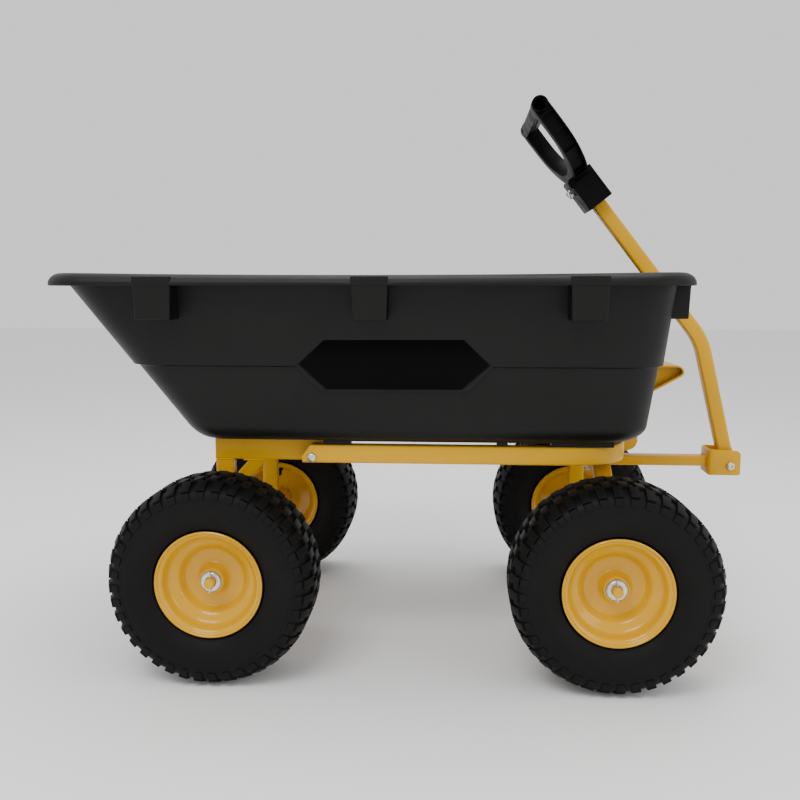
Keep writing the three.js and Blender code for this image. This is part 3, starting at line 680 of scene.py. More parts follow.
def tray_loop(z, rear, front, half, corner, pocket):
    """One loop round the tray; the handle pocket steps its front back to pocket."""
    inner_x, rear_x, inner_y = front - corner, rear + corner, half - corner

    def arc(cx, cy, start):
        angles = [math.radians(start + 9 * i) for i in range(11)]
        return [(cx + corner * math.cos(a), cy + corner * math.sin(a)) for a in angles]

    step_x = min(front, pocket)
    brink_x = front - 0.5 * (front > pocket)
    outline = arc(inner_x, -inner_y, -90)
    outline += [(front, -POCKET_SIDE - 2), (brink_x, -POCKET_SIDE)]
    outline += along((step_x, -POCKET_HALF), (step_x, POCKET_HALF), 4) + [(step_x, POCKET_HALF)]
    outline += [(brink_x, POCKET_SIDE), (front, POCKET_SIDE + 2)]
    outline += arc(inner_x, inner_y, 0)
    outline += along((inner_x, half), (rear_x, half), 12)[1:]
    outline += arc(rear_x, inner_y, 90)
    outline += along((rear, inner_y), (rear, -inner_y), 6)[1:]
    outline += arc(rear_x, -inner_y, 180)
    outline += along((rear_x, -half), (inner_x, -half), 12)[1:]
    share = max(0.0, min(1.0, (z - RIM_LOW) / (RIM_TOP - RIM_LOW)))
    return [(x, y, z + share * rim_rise(x, y)) for x, y in outline]


def wall_loops():
    """Loops up the outside wall, out and over the rim, and back down the inside."""
    foot = CORNER_TOP - TRAY_FLOOR
    lower = [TRAY_FLOOR + foot * (1 - math.cos(math.radians(a))) for a in range(0, 90, 11)]
    lower += [CORNER_TOP, 440, 470, 498, 501.4]
    upper = [504.6, 530, 565, 600, WALL_TOP, 635]
    loops = [tray_loop(z, *tray_level(z), POCKET_WALL) for z in lower]
    rear, front, half, corner = tray_level(LEDGE)
    for z, out in ((502.2, 0.4), (502.9, 1.4), (503.1, 3.8), (503.6, 5.2)):
        size = (rear - out * 1.4, front + out * 1.2, half + out, corner + out * 0.7)
        loops.append(tray_loop(z, *size, POCKET_WALL))
    loops += [tray_loop(z, *tray_level(z), POCKET_WALL) for z in upper]
    for z, out in ((638.6, 0.9), (640.2, 3.0), (640.5, 6.0)):
        loops.append(tray_loop(z, *grown(tray_level(639), out), POCKET_WALL + out * 0.2))
    for z, inset in rim_outline():
        size = grown((RIM_REAR, RIM_FRONT, RIM_HALF, RIM_CORNER), -inset)
        loops.append(tray_loop(z, *size, POCKET_LIP - 0.38 * inset))
    for z, out in ((RIM_TOP, 3.5), (RIM_TOP - 0.5, 1.5), (RIM_TOP - 2, 0.3), (RIM_TOP - 4, 0)):
        size = grown(tray_level(640.5), out - TRAY_WALL)
        loops.append(tray_loop(z, *size, POCKET_WALL - TRAY_WALL + out * 0.6))
    for z in reversed([*lower, *upper]):
        lift = TRAY_WALL * min(1, max(0, 1 - (z - 400) / 60))
        size = grown(tray_level(z), -TRAY_WALL)
        loops.append(tray_loop(z + lift, *size, POCKET_WALL - TRAY_WALL))
    return loops


def rim_outline():
    """Heights and insets of the rim from inside its lip, round the outer edge and over the top."""
    rim = [(638.5, 6.0), (636, 5.0), (RIM_LOW + 1, 4.6)]
    rim += [(RIM_LOW, 3.6), (RIM_LOW, 1.2), (RIM_LOW + 1, 0.2)]
    for angle in range(0, 91, 15):
        turn = math.radians(angle)
        rim.append((RIM_TOP - RIM_DROP * (1 - math.sin(turn)), RIM_ROUND * (1 - math.cos(turn))))
    return rim


def lofted(loops):
    bm = bmesh.new()
    skin(bm, [loop_of(bm, loop) for loop in loops])
    return bm


def tapered(bm, place, depths, run, heights, flare):
    """A block hung under the rim; place(along, outward, z) turns it to its wall.

    depths are how far out its (bottom, top) lie, at the wall and at the outer face.
    """
    (wall_low, wall_high), (edge_low, edge_high) = depths
    start, end = run
    near, far = start + flare, end - flare
    bottom = [(near, wall_low), (far, wall_low), (far, edge_low), (near, edge_low)]
    top = [(start, wall_high), (end, wall_high), (end, edge_high), (start, edge_high)]
    lower = loop_of(bm, [place(a, b, heights[0]) for a, b in bottom])
    upper = loop_of(bm, [place(a, b, heights[1]) for a, b in top])
    skin(bm, [lower, upper])


def rim_tab(place, wall, edge, run, additions, brows, removals):
    """A tab under the rim: a block open at the bottom, with a thin brow over the rim's lip."""
    start, end = run
    solid = shape(tapered, place, (wall, (edge - 2, edge)), run, (TAB_LOW, TAB_HIGH), 2.5)
    brow_depths = ((wall[1] - 2, wall[1] + 1), (edge + 0.6, edge + 0.2))
    brow = shape(tapered, place, brow_depths, run, (RIM_LOW - 0.5, TAB_HIGH + 0.4), 0)
    merged(additions, bevelled(solid, 2.2, segments=3))
    merged(brows, bevelled(brow, 1.2, segments=3))
    hollow_depths = ((wall[0] + 2, wall[1] + 1), (edge - 6, edge - 4))
    tapered(removals, place, hollow_depths, (start + 4, end - 4), (TAB_LOW - 1, TAB_HIGH - 5), 2.5)


def panel_prism(bm, sign, outline, low, high):
    """A prism on the leaning side wall, its depth measured outwards."""
    lean = math.atan(WALL_LEAN)
    up = Vector((0, sign * math.sin(lean), math.cos(lean)))
    out = Vector((0, sign * math.cos(lean), -math.sin(lean)))
    base = Vector((0, sign * side_at(LEDGE_HIGH), LEDGE_HIGH))

    def place(a, b, depth):
        return base + X_AXIS * a + up * ((b - LEDGE_HIGH) / math.cos(lean)) + out * depth

    prism(bm, outline, place, low, high)


def grown_panel(by):
    """The panel's outline, larger by about so much all round."""
    scale = 1 + by / 40
    return [(-30 + (x + 30) * scale, 506 + (z - 506) * scale) for x, z in PANEL]


def build_tray(material, panel_material):
    additions, brows, removals = shapes = bmesh.new(), bmesh.new(), bmesh.new()
    for _, sign in SIDES:
        for run in SIDE_TABS:
            rim_tab(lambda a, b, z: (a, sign * b, z), SIDE_TAB_WALL, RIM_HALF, run, *shapes)
        rim_tab(lambda a, b, z: (b, sign * a, z), FRONT_TAB_WALL, RIM_FRONT, FRONT_TAB, *shapes)
        lower = [(x, z) for x, z in grown_panel(4) if z < 500]
        half_panel = [(-184, LEDGE), (-184, 506), (124, 506), (124, LEDGE), *lower]
        merged(additions, bevelled(shape(panel_prism, sign, half_panel, -7.5, -0.05), 1.2))
        panel_prism(removals, sign, PANEL, -1.8, 4)
        for run in FOOT_RIBS:
            block(additions, run, span(sign, 192, 211), (369.8, TRAY_FLOOR + 2))
        for run in FLOOR_BEADS:
            block(additions, run, span(sign, 203, 212), (375.8, TRAY_FLOOR + 2))
    for x, y in TRAY_BOLTS.values():
        merged(removals, rod(PIN_HOLE, -6, 12, 24, (x, y, TRAY_FLOOR), Z_AXIS))
    tray = combine(lofted(wall_loops()), [(JOIN, additions), (JOIN, brows), (CUT, removals)])
    make("tray_shell", tray, material, "dump_bed", ["tray"], sharp=40)
    for name, sign in SIDES:
        plate = bevelled(shape(panel_prism, sign, grown_panel(-0.6), -1.5, -0.35), 0.45)
        make(f"panel_{name}", plate, panel_material, "dump_bed", [f"side_panel_{name}"])


def carriage_bolts(material):
    outline = [(0, -13), (3.4, -13), (4, -12.4), (4, 0), (9.7, 0), (10, 0.35)]
    outline += [(9.4, 1.4), (8, 2.2), (5.5, 2.9), (2.8, 3.2), (0, 3.3)]
    for name, (x, y) in TRAY_BOLTS.items():
        bolt = shape(lathe, outline, 40, (x, y, TRAY_FLOOR + TRAY_WALL + 0.3), Z_AXIS)
        make(name.replace("tray", "carriage"), bolt, material, "dump_bed", [name])


# ------------------------------------------------------------------ frames
AXLE_Z = 165
FRONT_AXLE_X, REAR_AXLE_X = 316, -317
WHEEL_Y = 272.5
DUMP_PIVOT = (-169, 349)  # each pivot as x and z
PLATE_TOP = 339.2  # of the steering plate
ARM_Y, ARM_LOW, ARM_TALL, ARM_WIDE = 201.5, 339.5, 30, 25
ARM_REAR, ARM_FRONT, ARM_BEND = -185, 341.5, 82
RAIL_Y, RAIL_LOW, RAIL_HIGH, RAIL_HALF = 176, 339, 377, 12.5
RAIL_REAR, RAIL_FRONT, LEG_X, BEAM_Z = -337, -155, -322, 360
LEG_FOOT = 148  # lower ends of the tubes that hold the axles
HANDLE_PIVOT = (565, 305)
AXLE_HOLE, BOLT_HOLE, PIN_HOLE = 8.4, 6.4, 4.4  # radii
PIVOT_BOLT = 5.95  # radius of the bolts in the two pivots


def hole_y(radius, x, z, low, high):
    return rod(radius, low, high, 32, (x, 0, z))


def hole_z(radius, x, y, low, high):
    return rod(radius, low, high, 32, (x, y, 0), Z_AXIS)


def with_beads(bm, lines, radius=1.9):
    for line in lines:
        bead(bm, line, radius)
    return bm


def square_of_beads(centre, half_a, half_b, to_point):
    """The weld around a rectangular tube's foot, as one closed line."""
    a, b = centre
    corners = [(-1, -1), (1, -1), (1, 1), (-1, 1), (-1, -1)]
    return [to_point(a + sx * half_a, b + sy * half_b) for sx, sy in corners]


def build_rear_frame(material):
    wide = 2 * RAIL_HALF
    middle = (RAIL_LOW + RAIL_HIGH) / 2
    for name, sign in SIDES:
        y = sign * RAIL_Y
        ends = (RAIL_REAR, y, middle), (RAIL_FRONT, y, middle)
        rail = shape(straight_tube, *ends, RAIL_HIGH - RAIL_LOW, wide, Y_AXIS)
        leg = shape(straight_tube, (LEG_X, y, LEG_FOOT), (LEG_X, y, RAIL_LOW + 1), 30, wide, Y_AXIS)
        brace = shape(straight_tube, (-257, y, 348), (LEG_X, y, 276), 22, wide - 0.6, Y_AXIS)
        nose = shape(prism, [(-171, 334), (-150, 334), (-150, 346.6)], side_point, y - 20, y + 20)
        tools = [
            (JOIN, leg),
            (JOIN, brace),
            (CUT, nose),
            (CUT, hole_y(AXLE_HOLE, REAR_AXLE_X, AXLE_Z, y - 20, y + 20)),
            (CUT, hole_y(BOLT_HOLE, *DUMP_PIVOT, y - 20, y + 20)),
        ]
        for x, bolt_y in TRAY_BOLTS.values():
            if bolt_y * sign > 0:
                tools.append((CUT, hole_z(PIN_HOLE, x, bolt_y, RAIL_HIGH - 6, RAIL_HIGH + 4)))
        frame_side = combine(rail, tools)
        seams = []
        for face in (y - RAIL_HALF + 1, y + RAIL_HALF - 1):
            seams.append([(-335, face, RAIL_LOW), (-309, face, RAIL_LOW)])
            seams.append([(-257, face, RAIL_LOW - 0.5), (-289, face, RAIL_LOW - 0.5)])
        seams.append([(-306.6, y - RAIL_HALF + 2, RAIL_LOW), (-306.6, y + RAIL_HALF - 2, RAIL_LOW)])
        outer = y + sign * (RAIL_HALF - 1.4)
        seams.append([(-307, outer, RAIL_LOW + 2), (-307, outer, RAIL_HIGH - 3)])
        welded = with_beads(frame_side, seams)
        make(f"rear_side_{name}", welded, material, "dump_bed", [f"rear_frame_{name}"])

    inner = RAIL_Y - RAIL_HALF - 0.3
    for name, x, width in (("rear_cross_beam", -322, 30), ("mid_cross_beam", -219.5, 25)):
        beam = shape(straight_tube, (x, -inner, BEAM_Z), (x, inner, BEAM_Z), width, 28, Z_AXIS)
        seams = []
        for end in (-inner + 0.6, inner - 0.6):
            seams.append(square_of_beads((x, BEAM_Z), width / 2 - 1, 13, lambda a, b: (a, end, b)))
        make(f"tube_{name}", with_beads(beam, seams), material, "dump_bed", [name])


def build_front_frame(material):
    z = ARM_LOW + ARM_TALL / 2
    corners = [(x, y, z) for x, y in (
        (ARM_REAR, -ARM_Y), (ARM_FRONT, -ARM_Y), (ARM_FRONT, ARM_Y), (ARM_REAR, ARM_Y)
    )]
    tube = shape(square_tube, ARM_WIDE, ARM_TALL, bent_route(corners, ARM_BEND, 14), Z_AXIS)
    chamfer = [(-190, 350), (-185.5, 350), (-171, 370), (-171, 376), (-190, 376)]
    tools = []
    for _, sign in SIDES:
        across = span(sign, 180, 222)
        tools.append((CUT, shape(prism, chamfer, side_point, *across)))
        tools.append((CUT, hole_y(BOLT_HOLE, *DUMP_PIVOT, *across)))
    make("front_tube", combine(tube, tools), material, "front_frame", ["front_frame"])

    half = [(276, -62), (284, -70), (342, -70), (350, -62)]
    plate = bevelled(shape(prism, half + flipped(half), top_point, 336.6, PLATE_TOP), 0.6)
    steering_plate = combine(plate, [(CUT, hole_z(AXLE_HOLE, FRONT_AXLE_X, 0, 330, 345))])
    ring = [(8.4, -1), (12.4, -1), (12.4, 16.2), (11.8, 16.8), (9, 16.8), (8.4, 16.2)]
    merged(steering_plate, shape(lathe, ring, 48, (FRONT_AXLE_X, 0, PLATE_TOP), Z_AXIS))
    angles = [math.radians(30 * i) for i in range(13)]
    ring_seam = [
        (FRONT_AXLE_X + 12.9 * math.cos(a), 12.9 * math.sin(a), PLATE_TOP + 0.2) for a in angles
    ]
    seams = [ring_seam]
    for run in ((-64, -20), (20, 64)):
        seams.append([(327.2, y, PLATE_TOP - 0.1) for y in run])
    welded = with_beads(steering_plate, seams, 1.5)
    make("kingpin_plate", welded, material, "front_frame", ["steering_plate"])


def add_shank(bm, centre, way, radius, length, top):
    """A bolt's shank down from top, and its threaded end, which is length away from centre."""
    bar(bm, radius - 0.05, top, centre - way * length * 0.62)
    threaded(bm, radius - 0.15, centre - way * length * 0.6, centre - way * length)


def kingpin_bolt(material, centre, way):
    """The bolt the steering turns on: its washer sits on centre, its shank runs against way."""
    radius, length, washer_radius, washer_thick = 7.9, 66, 12.4, 2.4
    bm = shape(washer, radius + 0.4, washer_radius, washer_thick, centre, way)
    seat = centre + way * washer_thick
    hexagon(bm, seat, way, radius * 1.85, radius * 0.95)
    dimple = [(0, 0), (radius * 0.6, 0), (radius * 0.55, 0.25), (0, 0.3)]
    lathe(bm, dimple, 24, seat + way * radius * 0.95, way)
    add_shank(bm, centre, way, radius, length, seat + way * 0.2)
    make("kingpin", bm, material, "steering", ["kingpin_bolt"], sharp=28)


def button_bolt(name, replaced, body, material, centre, way, radius, length):
    """A round-headed bolt with a hexagon socket, its head resting on centre."""
    centre, way = Vector(centre), Vector(way)
    head = radius * 1.3
    dome = [(0, -0.2), (head, -0.2), (head, 1.6), (head * 0.97, 2.7)]
    dome += [(head * 0.86, 4), (head * 0.7, 4.9), (head * 0.5, 5.3), (0, 5.3)]
    socket = shape(hexagon, centre + way * 2.6, way, radius * 0.62, 4)
    bm = combine(shape(lathe, dome, 44, centre, way), [(CUT, socket)])
    add_shank(bm, centre, way, radius, length, centre + way * 0.2)
    make(name, bm, material, body, [replaced], sharp=28)


def hex_nut(name, replaced, body, material, centre, way, radius, height):
    way = Vector(way)
    thread = rod(radius + 0.35, -2, height + 2, 32, centre, way)
    nut = combine(shape(hexagon, centre, way, radius * 1.85, height), [(CUT, thread)])
    make(name, nut, material, body, [replaced], 28)


def build_pivots(material):
    x, z = DUMP_PIVOT
    outer = ARM_Y + ARM_WIDE / 2 + 0.3
    inner = RAIL_Y - RAIL_HALF - 0.3
    for name, sign in SIDES:
        names = f"dump_bolt_{name}", f"pivot_bolt_{name}", "front_frame"
        bolt = (x, sign * outer, z), (0, sign, 0), PIVOT_BOLT, outer - inner + 14
        button_bolt(*names, material, *bolt)
        names = f"dump_nut_{name}", f"pivot_nut_{name}", "front_frame"
        hex_nut(*names, material, (x, sign * (inner - 10), z), (0, sign, 0), PIVOT_BOLT, 10)


# ------------------------------------------------------------------ steering
ARCH_TOP, ARCH_Y, ARCH_BEND = 323.5, 177.5, 80
DRAWBAR_Z, DRAWBAR_END, CLEVIS_HALF = 311, 525, 26
KINGPIN_SEAT = 356.3
HUB_END, SPLIT_PIN_Y = 33.8, 314  # the first from the wheel's middle


def build_steering(material, zinc):
    x = FRONT_AXLE_X
    corners = [(x, y, z) for y, z in (
        (-ARCH_Y, LEG_FOOT), (-ARCH_Y, ARCH_TOP), (ARCH_Y, ARCH_TOP), (ARCH_Y, LEG_FOOT)
    )]
    arch = shape(square_tube, 25, 30, bent_route(corners, ARCH_BEND, 14), X_AXIS)
    tools = [
        (CUT, hole_y(AXLE_HOLE, x, AXLE_Z, -220, 220)),
        (CUT, hole_z(AXLE_HOLE, x, 0, ARCH_TOP - 18, ARCH_TOP + 18)),
    ]
    make("axle_arch", combine(arch, tools), material, "steering", ["front_axle_arch"])

    face = x + 15.3
    ends = (face + 2, 0, DRAWBAR_Z), (DRAWBAR_END, 0, DRAWBAR_Z)
    drawbar = shape(straight_tube, *ends, 30, 18, Z_AXIS)
    outline = symmetric([(-34, 302), (-29, 297)]) + symmetric([(34, 330), (29, 335)])
    merged(drawbar, bevelled(shape(prism, outline, front_point, face, face + 4), 0.7))
    foot = square_of_beads((0, DRAWBAR_Z), 15, 9, lambda a, b: (face + 4.6, a, b))
    make("drawbar_tube", with_beads(drawbar, [foot]), material, "steering", ["drawbar"])

    rear, front, low, high = DRAWBAR_END + 0.3, 583, 288, 335
    half, thick = CLEVIS_HALF, 4
    cheek = [(rear, low + 2), (rear + 2, low), (front - 3, low), (front - 1, low + 1)]
    cheek += [(front, low + 3), (front, high - 10), (front - 1, high - 6.5)]
    cheek += [(front - 3.4, high - 3.6), (front - 7, high - 2.2), (rear + 12, high)]
    cheek += [(rear + 3, high), (rear, high - 3)]
    plan = [(rear - 1, 6 - half), (rear + 0.8, 3 - half), (rear + 3, 0.9 - half)]
    plan += [(rear + 6, -half - 1), (front + 2, -half - 1), (front + 2, thick - half)]
    plan += [(rear + 8, thick - half), (rear + 5.2, 5.2 - half), (rear + thick, 8 - half)]
    cheeks = shape(prism, cheek, side_point, -half, half)
    channel = shape(prism, plan + flipped(plan), top_point, low - 2, high + 2)
    clevis = combine(cheeks, [(KEEP, channel), (CUT, hole_y(BOLT_HOLE, *HANDLE_PIVOT, -40, 40))])
    make("clevis_fork", bevelled(clevis, 0.5, 50), material, "steering", ["drawbar_clevis"])
    seam = square_of_beads((0, DRAWBAR_Z), 15, 9, lambda a, b: (DRAWBAR_END - 0.1, a, b))
    make("clevis_weld", with_beads(bmesh.new(), [seam]), material, "steering")

    kingpin_bolt(zinc, Vector((x, 0, KINGPIN_SEAT)), Z_AXIS)
    nut_seat = (x, 0, ARCH_TOP - 12.8 - 14)
    hex_nut("kingpin_lock_nut", "kingpin_nut", "steering", zinc, nut_seat, Z_AXIS, 7.3, 14)


def build_axles(material, zinc):
    shoulder = WHEEL_Y - 48.8
    half = [(12, shoulder - 8), (12, shoulder - 0.6), (11.4, shoulder), (8, shoulder)]
    half += [(8, 319.4), (6.6, 321), (0, 321)]
    outline = [*flipped(half), (11.4, 8.6 - shoulder), (8, 9 - shoulder)]
    outline += [(8, shoulder - 9), (11.4, shoulder - 8.6), *half]
    ring = [(8.4, 0.4), (8.8, 0), (14.9, 0), (15.3, 0.4)]
    ring += [(15.3, 1.8), (14.6, 2.4), (9.2, 2.4), (8.4, 1.8)]
    pin = [(-1.4, -15), (-1.4, 9), (-3.8, 14), (0, 21), (3.8, 14), (1.4, 9), (1.4, -13)]
    for name, x, body in (("front", FRONT_AXLE_X, "steering"), ("rear", REAR_AXLE_X, "dump_bed")):
        axle = shape(lathe, outline, 40, (x, 0, AXLE_Z))
        make(f"{name}_axle_rod", axle, material, body, [f"{name}_axle"])
        for side, sign in SIDES:
            seat = (x, sign * (WHEEL_Y + HUB_END), AXLE_Z)
            end_washer = shape(lathe, ring, 48, seat, Vector((0, sign, 0)))
            make(f"{name}_hub_washer_{side}", end_washer, zinc, body, [f"{name}_washer_{side}"])
            route = [(x, sign * SPLIT_PIN_Y + y, AXLE_Z + z) for y, z in pin]
            split_pin = shape(sweep, circle(1.3, 12), bent_route(route, 2.2, 5), -X_AXIS)
            make(f"{name}_split_pin_{side}", split_pin, zinc, body, [f"{name}_cotter_{side}"])


# ------------------------------------------------------------------ wheels
TREAD_PITCHES = 40
BEARINGS = (("outer", 22.5), ("inner", -48.5))  # where each starts, out from the wheel's middle


def smooth_line(points, steps):
    """A Catmull-Rom curve through the points."""
    padded = [points[0], *points, points[-1]]
    curve = []
    for p0, p1, p2, p3 in zip(padded, padded[1:], padded[2:], padded[3:]):
        for step in range(steps):
            t = step / steps
            curve.append(tuple(
                0.5 * (2 * b + (c - a) * t + (2 * a - 5 * b + 4 * c - d) * t**2
                       + (3 * b - a - 3 * c + d) * t**3)
                for a, b, c, d in zip(p0, p1, p2, p3)
            ))
    return [*curve, points[-1]]


def tread_block(bm, angle, arc, corners, sink):
    """A block on the tyre, sunk into it; corners are (radius, y) of its two outer edges."""
    def at(radius, y, turn):
        return (radius * math.sin(turn), y, radius * math.cos(turn))

    top, bottom = [], []
    for (radius, y), sides in zip(corners, ((-1, 1), (1, -1))):
        for side in sides:
            top.append(at(radius, y, angle + side * arc * 0.43))
            bottom.append(at(radius + sink[0], y + sink[1], angle + side * arc * 0.5))
    upper, lower = loop_of(bm, top), loop_of(bm, bottom)
    skin(bm, [lower, upper])


def tyre_mesh():
    bead_line = [(77.3, 30), (77.3, 38.5), (80, 42.2), (86.5, 45.5)]
    rib = [(88.6, 47.6), (89.8, 49.6), (91.2, 49.8)]
    wall = [(86.5, 45.5), (96, 53.6), (108, 59.6), (120, 62.2), (132, 62.3)]
    wall_line = [(radius, y) for radius, y in smooth_line(wall, 5) if radius > 92]
    groove = [(133, 61.6), (134.2, 61.5), (135, 62)]
    shoulder = [(135, 62), (143, 60.6), (150, 56.8), (155.5, 49), (158.6, 38)]
    shoulder += [(160, 20), (160.4, 0)]
    half = bead_line + rib + wall_line + groove + smooth_line(shoulder, 4)[1:]
    inside = [(86, -28), (112, -50), (146, -50), (152, -30)]
    bm = shape(lathe, half + flipped(half[:-1]) + inside + flipped(inside), 120)

    tread = bmesh.new()
    pitch = 2 * math.pi / TREAD_PITCHES
    for i in range(TREAD_PITCHES):
        for sign in (-1, 1):
            angle = i * pitch + 0.25 * pitch * sign
            edge = (165, sign * 35), (155, sign * 59.4)
            side = (151, sign * 60.6), (139.5, sign * 63.3)
            crown = (165, sign * 3), (165, sign * 30)
            tread_block(tread, angle, pitch * 0.66, edge, (-8, -sign * 4))
            tread_block(tread, angle, pitch * 0.6, side, (-0.6, -sign * 4))
            tread_block(tread, angle + pitch / 2, pitch * 0.62, crown, (-7, 0))
    merged(bm, bevelled(tread, 0.9))
    return mesh_of("tyre", bm, sharp=44)


def rim_mesh():
    flange = [(66, 13.6), (67.4, 16.4), (74.4, 23.3), (76.1, 26), (76.1, 40.6)]
    flange += [(77, 42.9), (82.6, 45.6)]
    roll = [(85, 47.2), (86, 49.2), (85.6, 51.2), (84.1, 52.1), (82.5, 51.4), (81.7, 49.6)]
    bowl = [(80.4, 48), (76.4, 45.4), (74, 41), (72.4, 34.6), (69, 29.6), (64, 26.4)]
    step = smooth_line([(64, 26.4), (58, 23), (54, 19), (50.6, 13.4), (47, 9.8), (42, 8.8)], 3)[1:]
    front = smooth_line([(42, 8.8), (34, 8.7), (28, 9.6), (23.8, 12.4), (21, 17), (20, 23)], 3)[1:]
    hub = [(20, 32.9), (19.5, 33.5), (17.9, 33.5), (17.3, 32.9), (17.3, -47.9), (17.9, -48.5)]
    hub += [(19.5, -48.5), (20, -47.9), (20, -6), (20.9, -3.2), (22.8, -1.7)]
    hub += [(26, -1.2), (60.6, -1.2)]
    back = [(62.8, -2.2), (63.6, -4.6), (63.7, -15.6), (65.4, -17.8), (72.6, -25.2), (73.7, -27.6)]
    back += [(73.9, -43.2), (75.6, -45.6), (80.4, -48)]
    dish = smooth_line(bowl, 3) + step + front
    outline = flange + roll + dish + hub + back + flipped(flange + roll)
    return mesh_of("rim", shape(lathe, outline, 112), sharp=46)


def bearing_meshes():
    outer = [(14, 0.5), (14.4, 0.2), (16.7, 0.2), (17, 0.6)]
    outer += [(17, 10.4), (16.7, 10.8), (14.4, 10.8), (14, 10.5)]
    inner = [(8.3, 0.6), (8.6, 0.2), (10.7, 0.2), (11, 0.5)]
    inner += [(11, 10.5), (10.7, 10.8), (8.6, 10.8), (8.3, 10.4)]
    races = shape(lathe, outer, 56)
    lathe(races, inner, 56)
    seal = [(10.9, 1.2), (12.4, 0.8), (14.1, 1.2), (14.1, 9.8), (12.4, 10.2), (10.9, 9.8)]
    return mesh_of("bearing_races", races), mesh_of("bearing_seals", shape(lathe, seal, 56))


def valve_mesh():
    """A rubber valve stem with its cap, on the side of the rim that faces the cart."""
    outline = [(0, 0), (6, 0), (6, 1.6), (4.4, 3), (3.6, 8), (3.5, 14)]
    outline += [(4, 14.5), (4, 20), (3.4, 21), (0, 21.2)]
    way = Vector((0, -0.85, -0.52)).normalized()
    return mesh_of("valve_stem", shape(lathe, outline, 28, (0, -16.5, 66.5), way))


def build_wheels(paint, rubber, steel, seal):
    tyre, rim, valve = tyre_mesh(), rim_mesh(), valve_mesh()
    races, seals = bearing_meshes()
    for end, x in (("front", FRONT_AXLE_X), ("rear", REAR_AXLE_X)):
        for side, sign in SIDES:
            name = f"{end}_{side}"
            body = f"wheel_{name}"
            centre = (x, sign * WHEEL_Y, AXLE_Z)
            turn = 0 if sign > 0 else math.pi
            show(f"tyre_tread_{name}", tyre, rubber, body, [f"tyre_{name}"], centre, turn)
            show(f"wheel_rim_{name}", rim, paint, body, [f"rim_{name}"], centre, turn)
            show(f"valve_{name}", valve, rubber, body, (), centre, turn)
            for place, offset in BEARINGS:
                at = (x, sign * (WHEEL_Y + offset), AXLE_Z)
                node = f"bearing_{place}_{name}"
                show(f"races_{place}_{name}", races, steel, body, [node], at, turn)
                show(f"seal_{place}_{name}", seals, seal, body, (), at, turn)


# ------------------------------------------------------------------ pull handle
HANDLE_LEAN = math.radians(13.85)
HANDLE_BEND = (509, 0, 533)
GRIP_PLACE = (319, 0, 775)
GRIP_LEAN = math.radians(38.2)
SOCKET = 66
SPAN = 250
BAR_HEIGHT = 191
PIN_PLACE = (0, 0, 40)
ARM_OUTSIDE = [(34, 50), (54, 62), (78, 75), (97, 91), (111, 109), (119, 132)]
ARM_OUTSIDE += [(121, 160), (120, BAR_HEIGHT)]
ARM_INSIDE = [(14, 76), (46, 82), (66, 93), (83, 105), (93, 119), (99, 136)]
ARM_INSIDE += [(99.5, 160), (99, BAR_HEIGHT - 11)]


def leaned(bm):
    """Lays a shape built upright over the grip's own origin back over the tray."""
    place = Matrix.Translation(Vector(GRIP_PLACE) * MM) @ Matrix.Rotation(-GRIP_LEAN, 4, "Y")
    bmesh.ops.transform(bm, matrix=place, verts=bm.verts)
    return bm


def width_at(line, z):
    """How far out a line of (y, z) points lies at height z."""
    if z < line[0][1]:
        return line[0][0]
    for (y0, z0), (y1, z1) in zip(line, line[1:]):
        if z0 <= z <= z1:
            return y0 + (y1 - y0) * (z - z0) / (z1 - z0)
    return line[-1][0]


def arm_hollow(sign, levels, depth):
    """A hollow in one arm's outward face between the flanges, over a run of heights."""
    outline = [(width_at(ARM_OUTSIDE, z) + 6, z) for z in levels]
    for z in reversed(levels):
        room = width_at(ARM_OUTSIDE, z) - width_at(ARM_INSIDE, z)
        outline.append((width_at(ARM_OUTSIDE, z) - min(depth, 0.72 * room), z))
    return shape(prism, [(sign * y, z) for y, z in outline], front_point, -11.6, 11.6)


def arm_channel(sign):
    """The open channel down one arm: a trough, and deeper cells between low cross ribs."""
    troughs = [arm_hollow(sign, range(62, 183, 8), 8)]
    for low, high in ((68, 100), (103, 138), (141, 172)):
        troughs.append(arm_hollow(sign, (low, (low + high) / 2, high), 15))
    return [(CUT, trough) for trough in troughs]


def symmetric(line):
    """A line of (y, z) points on the left and its mirror image, as one closed outline."""
    return [*line, *((-y, z) for y, z in reversed(line))]


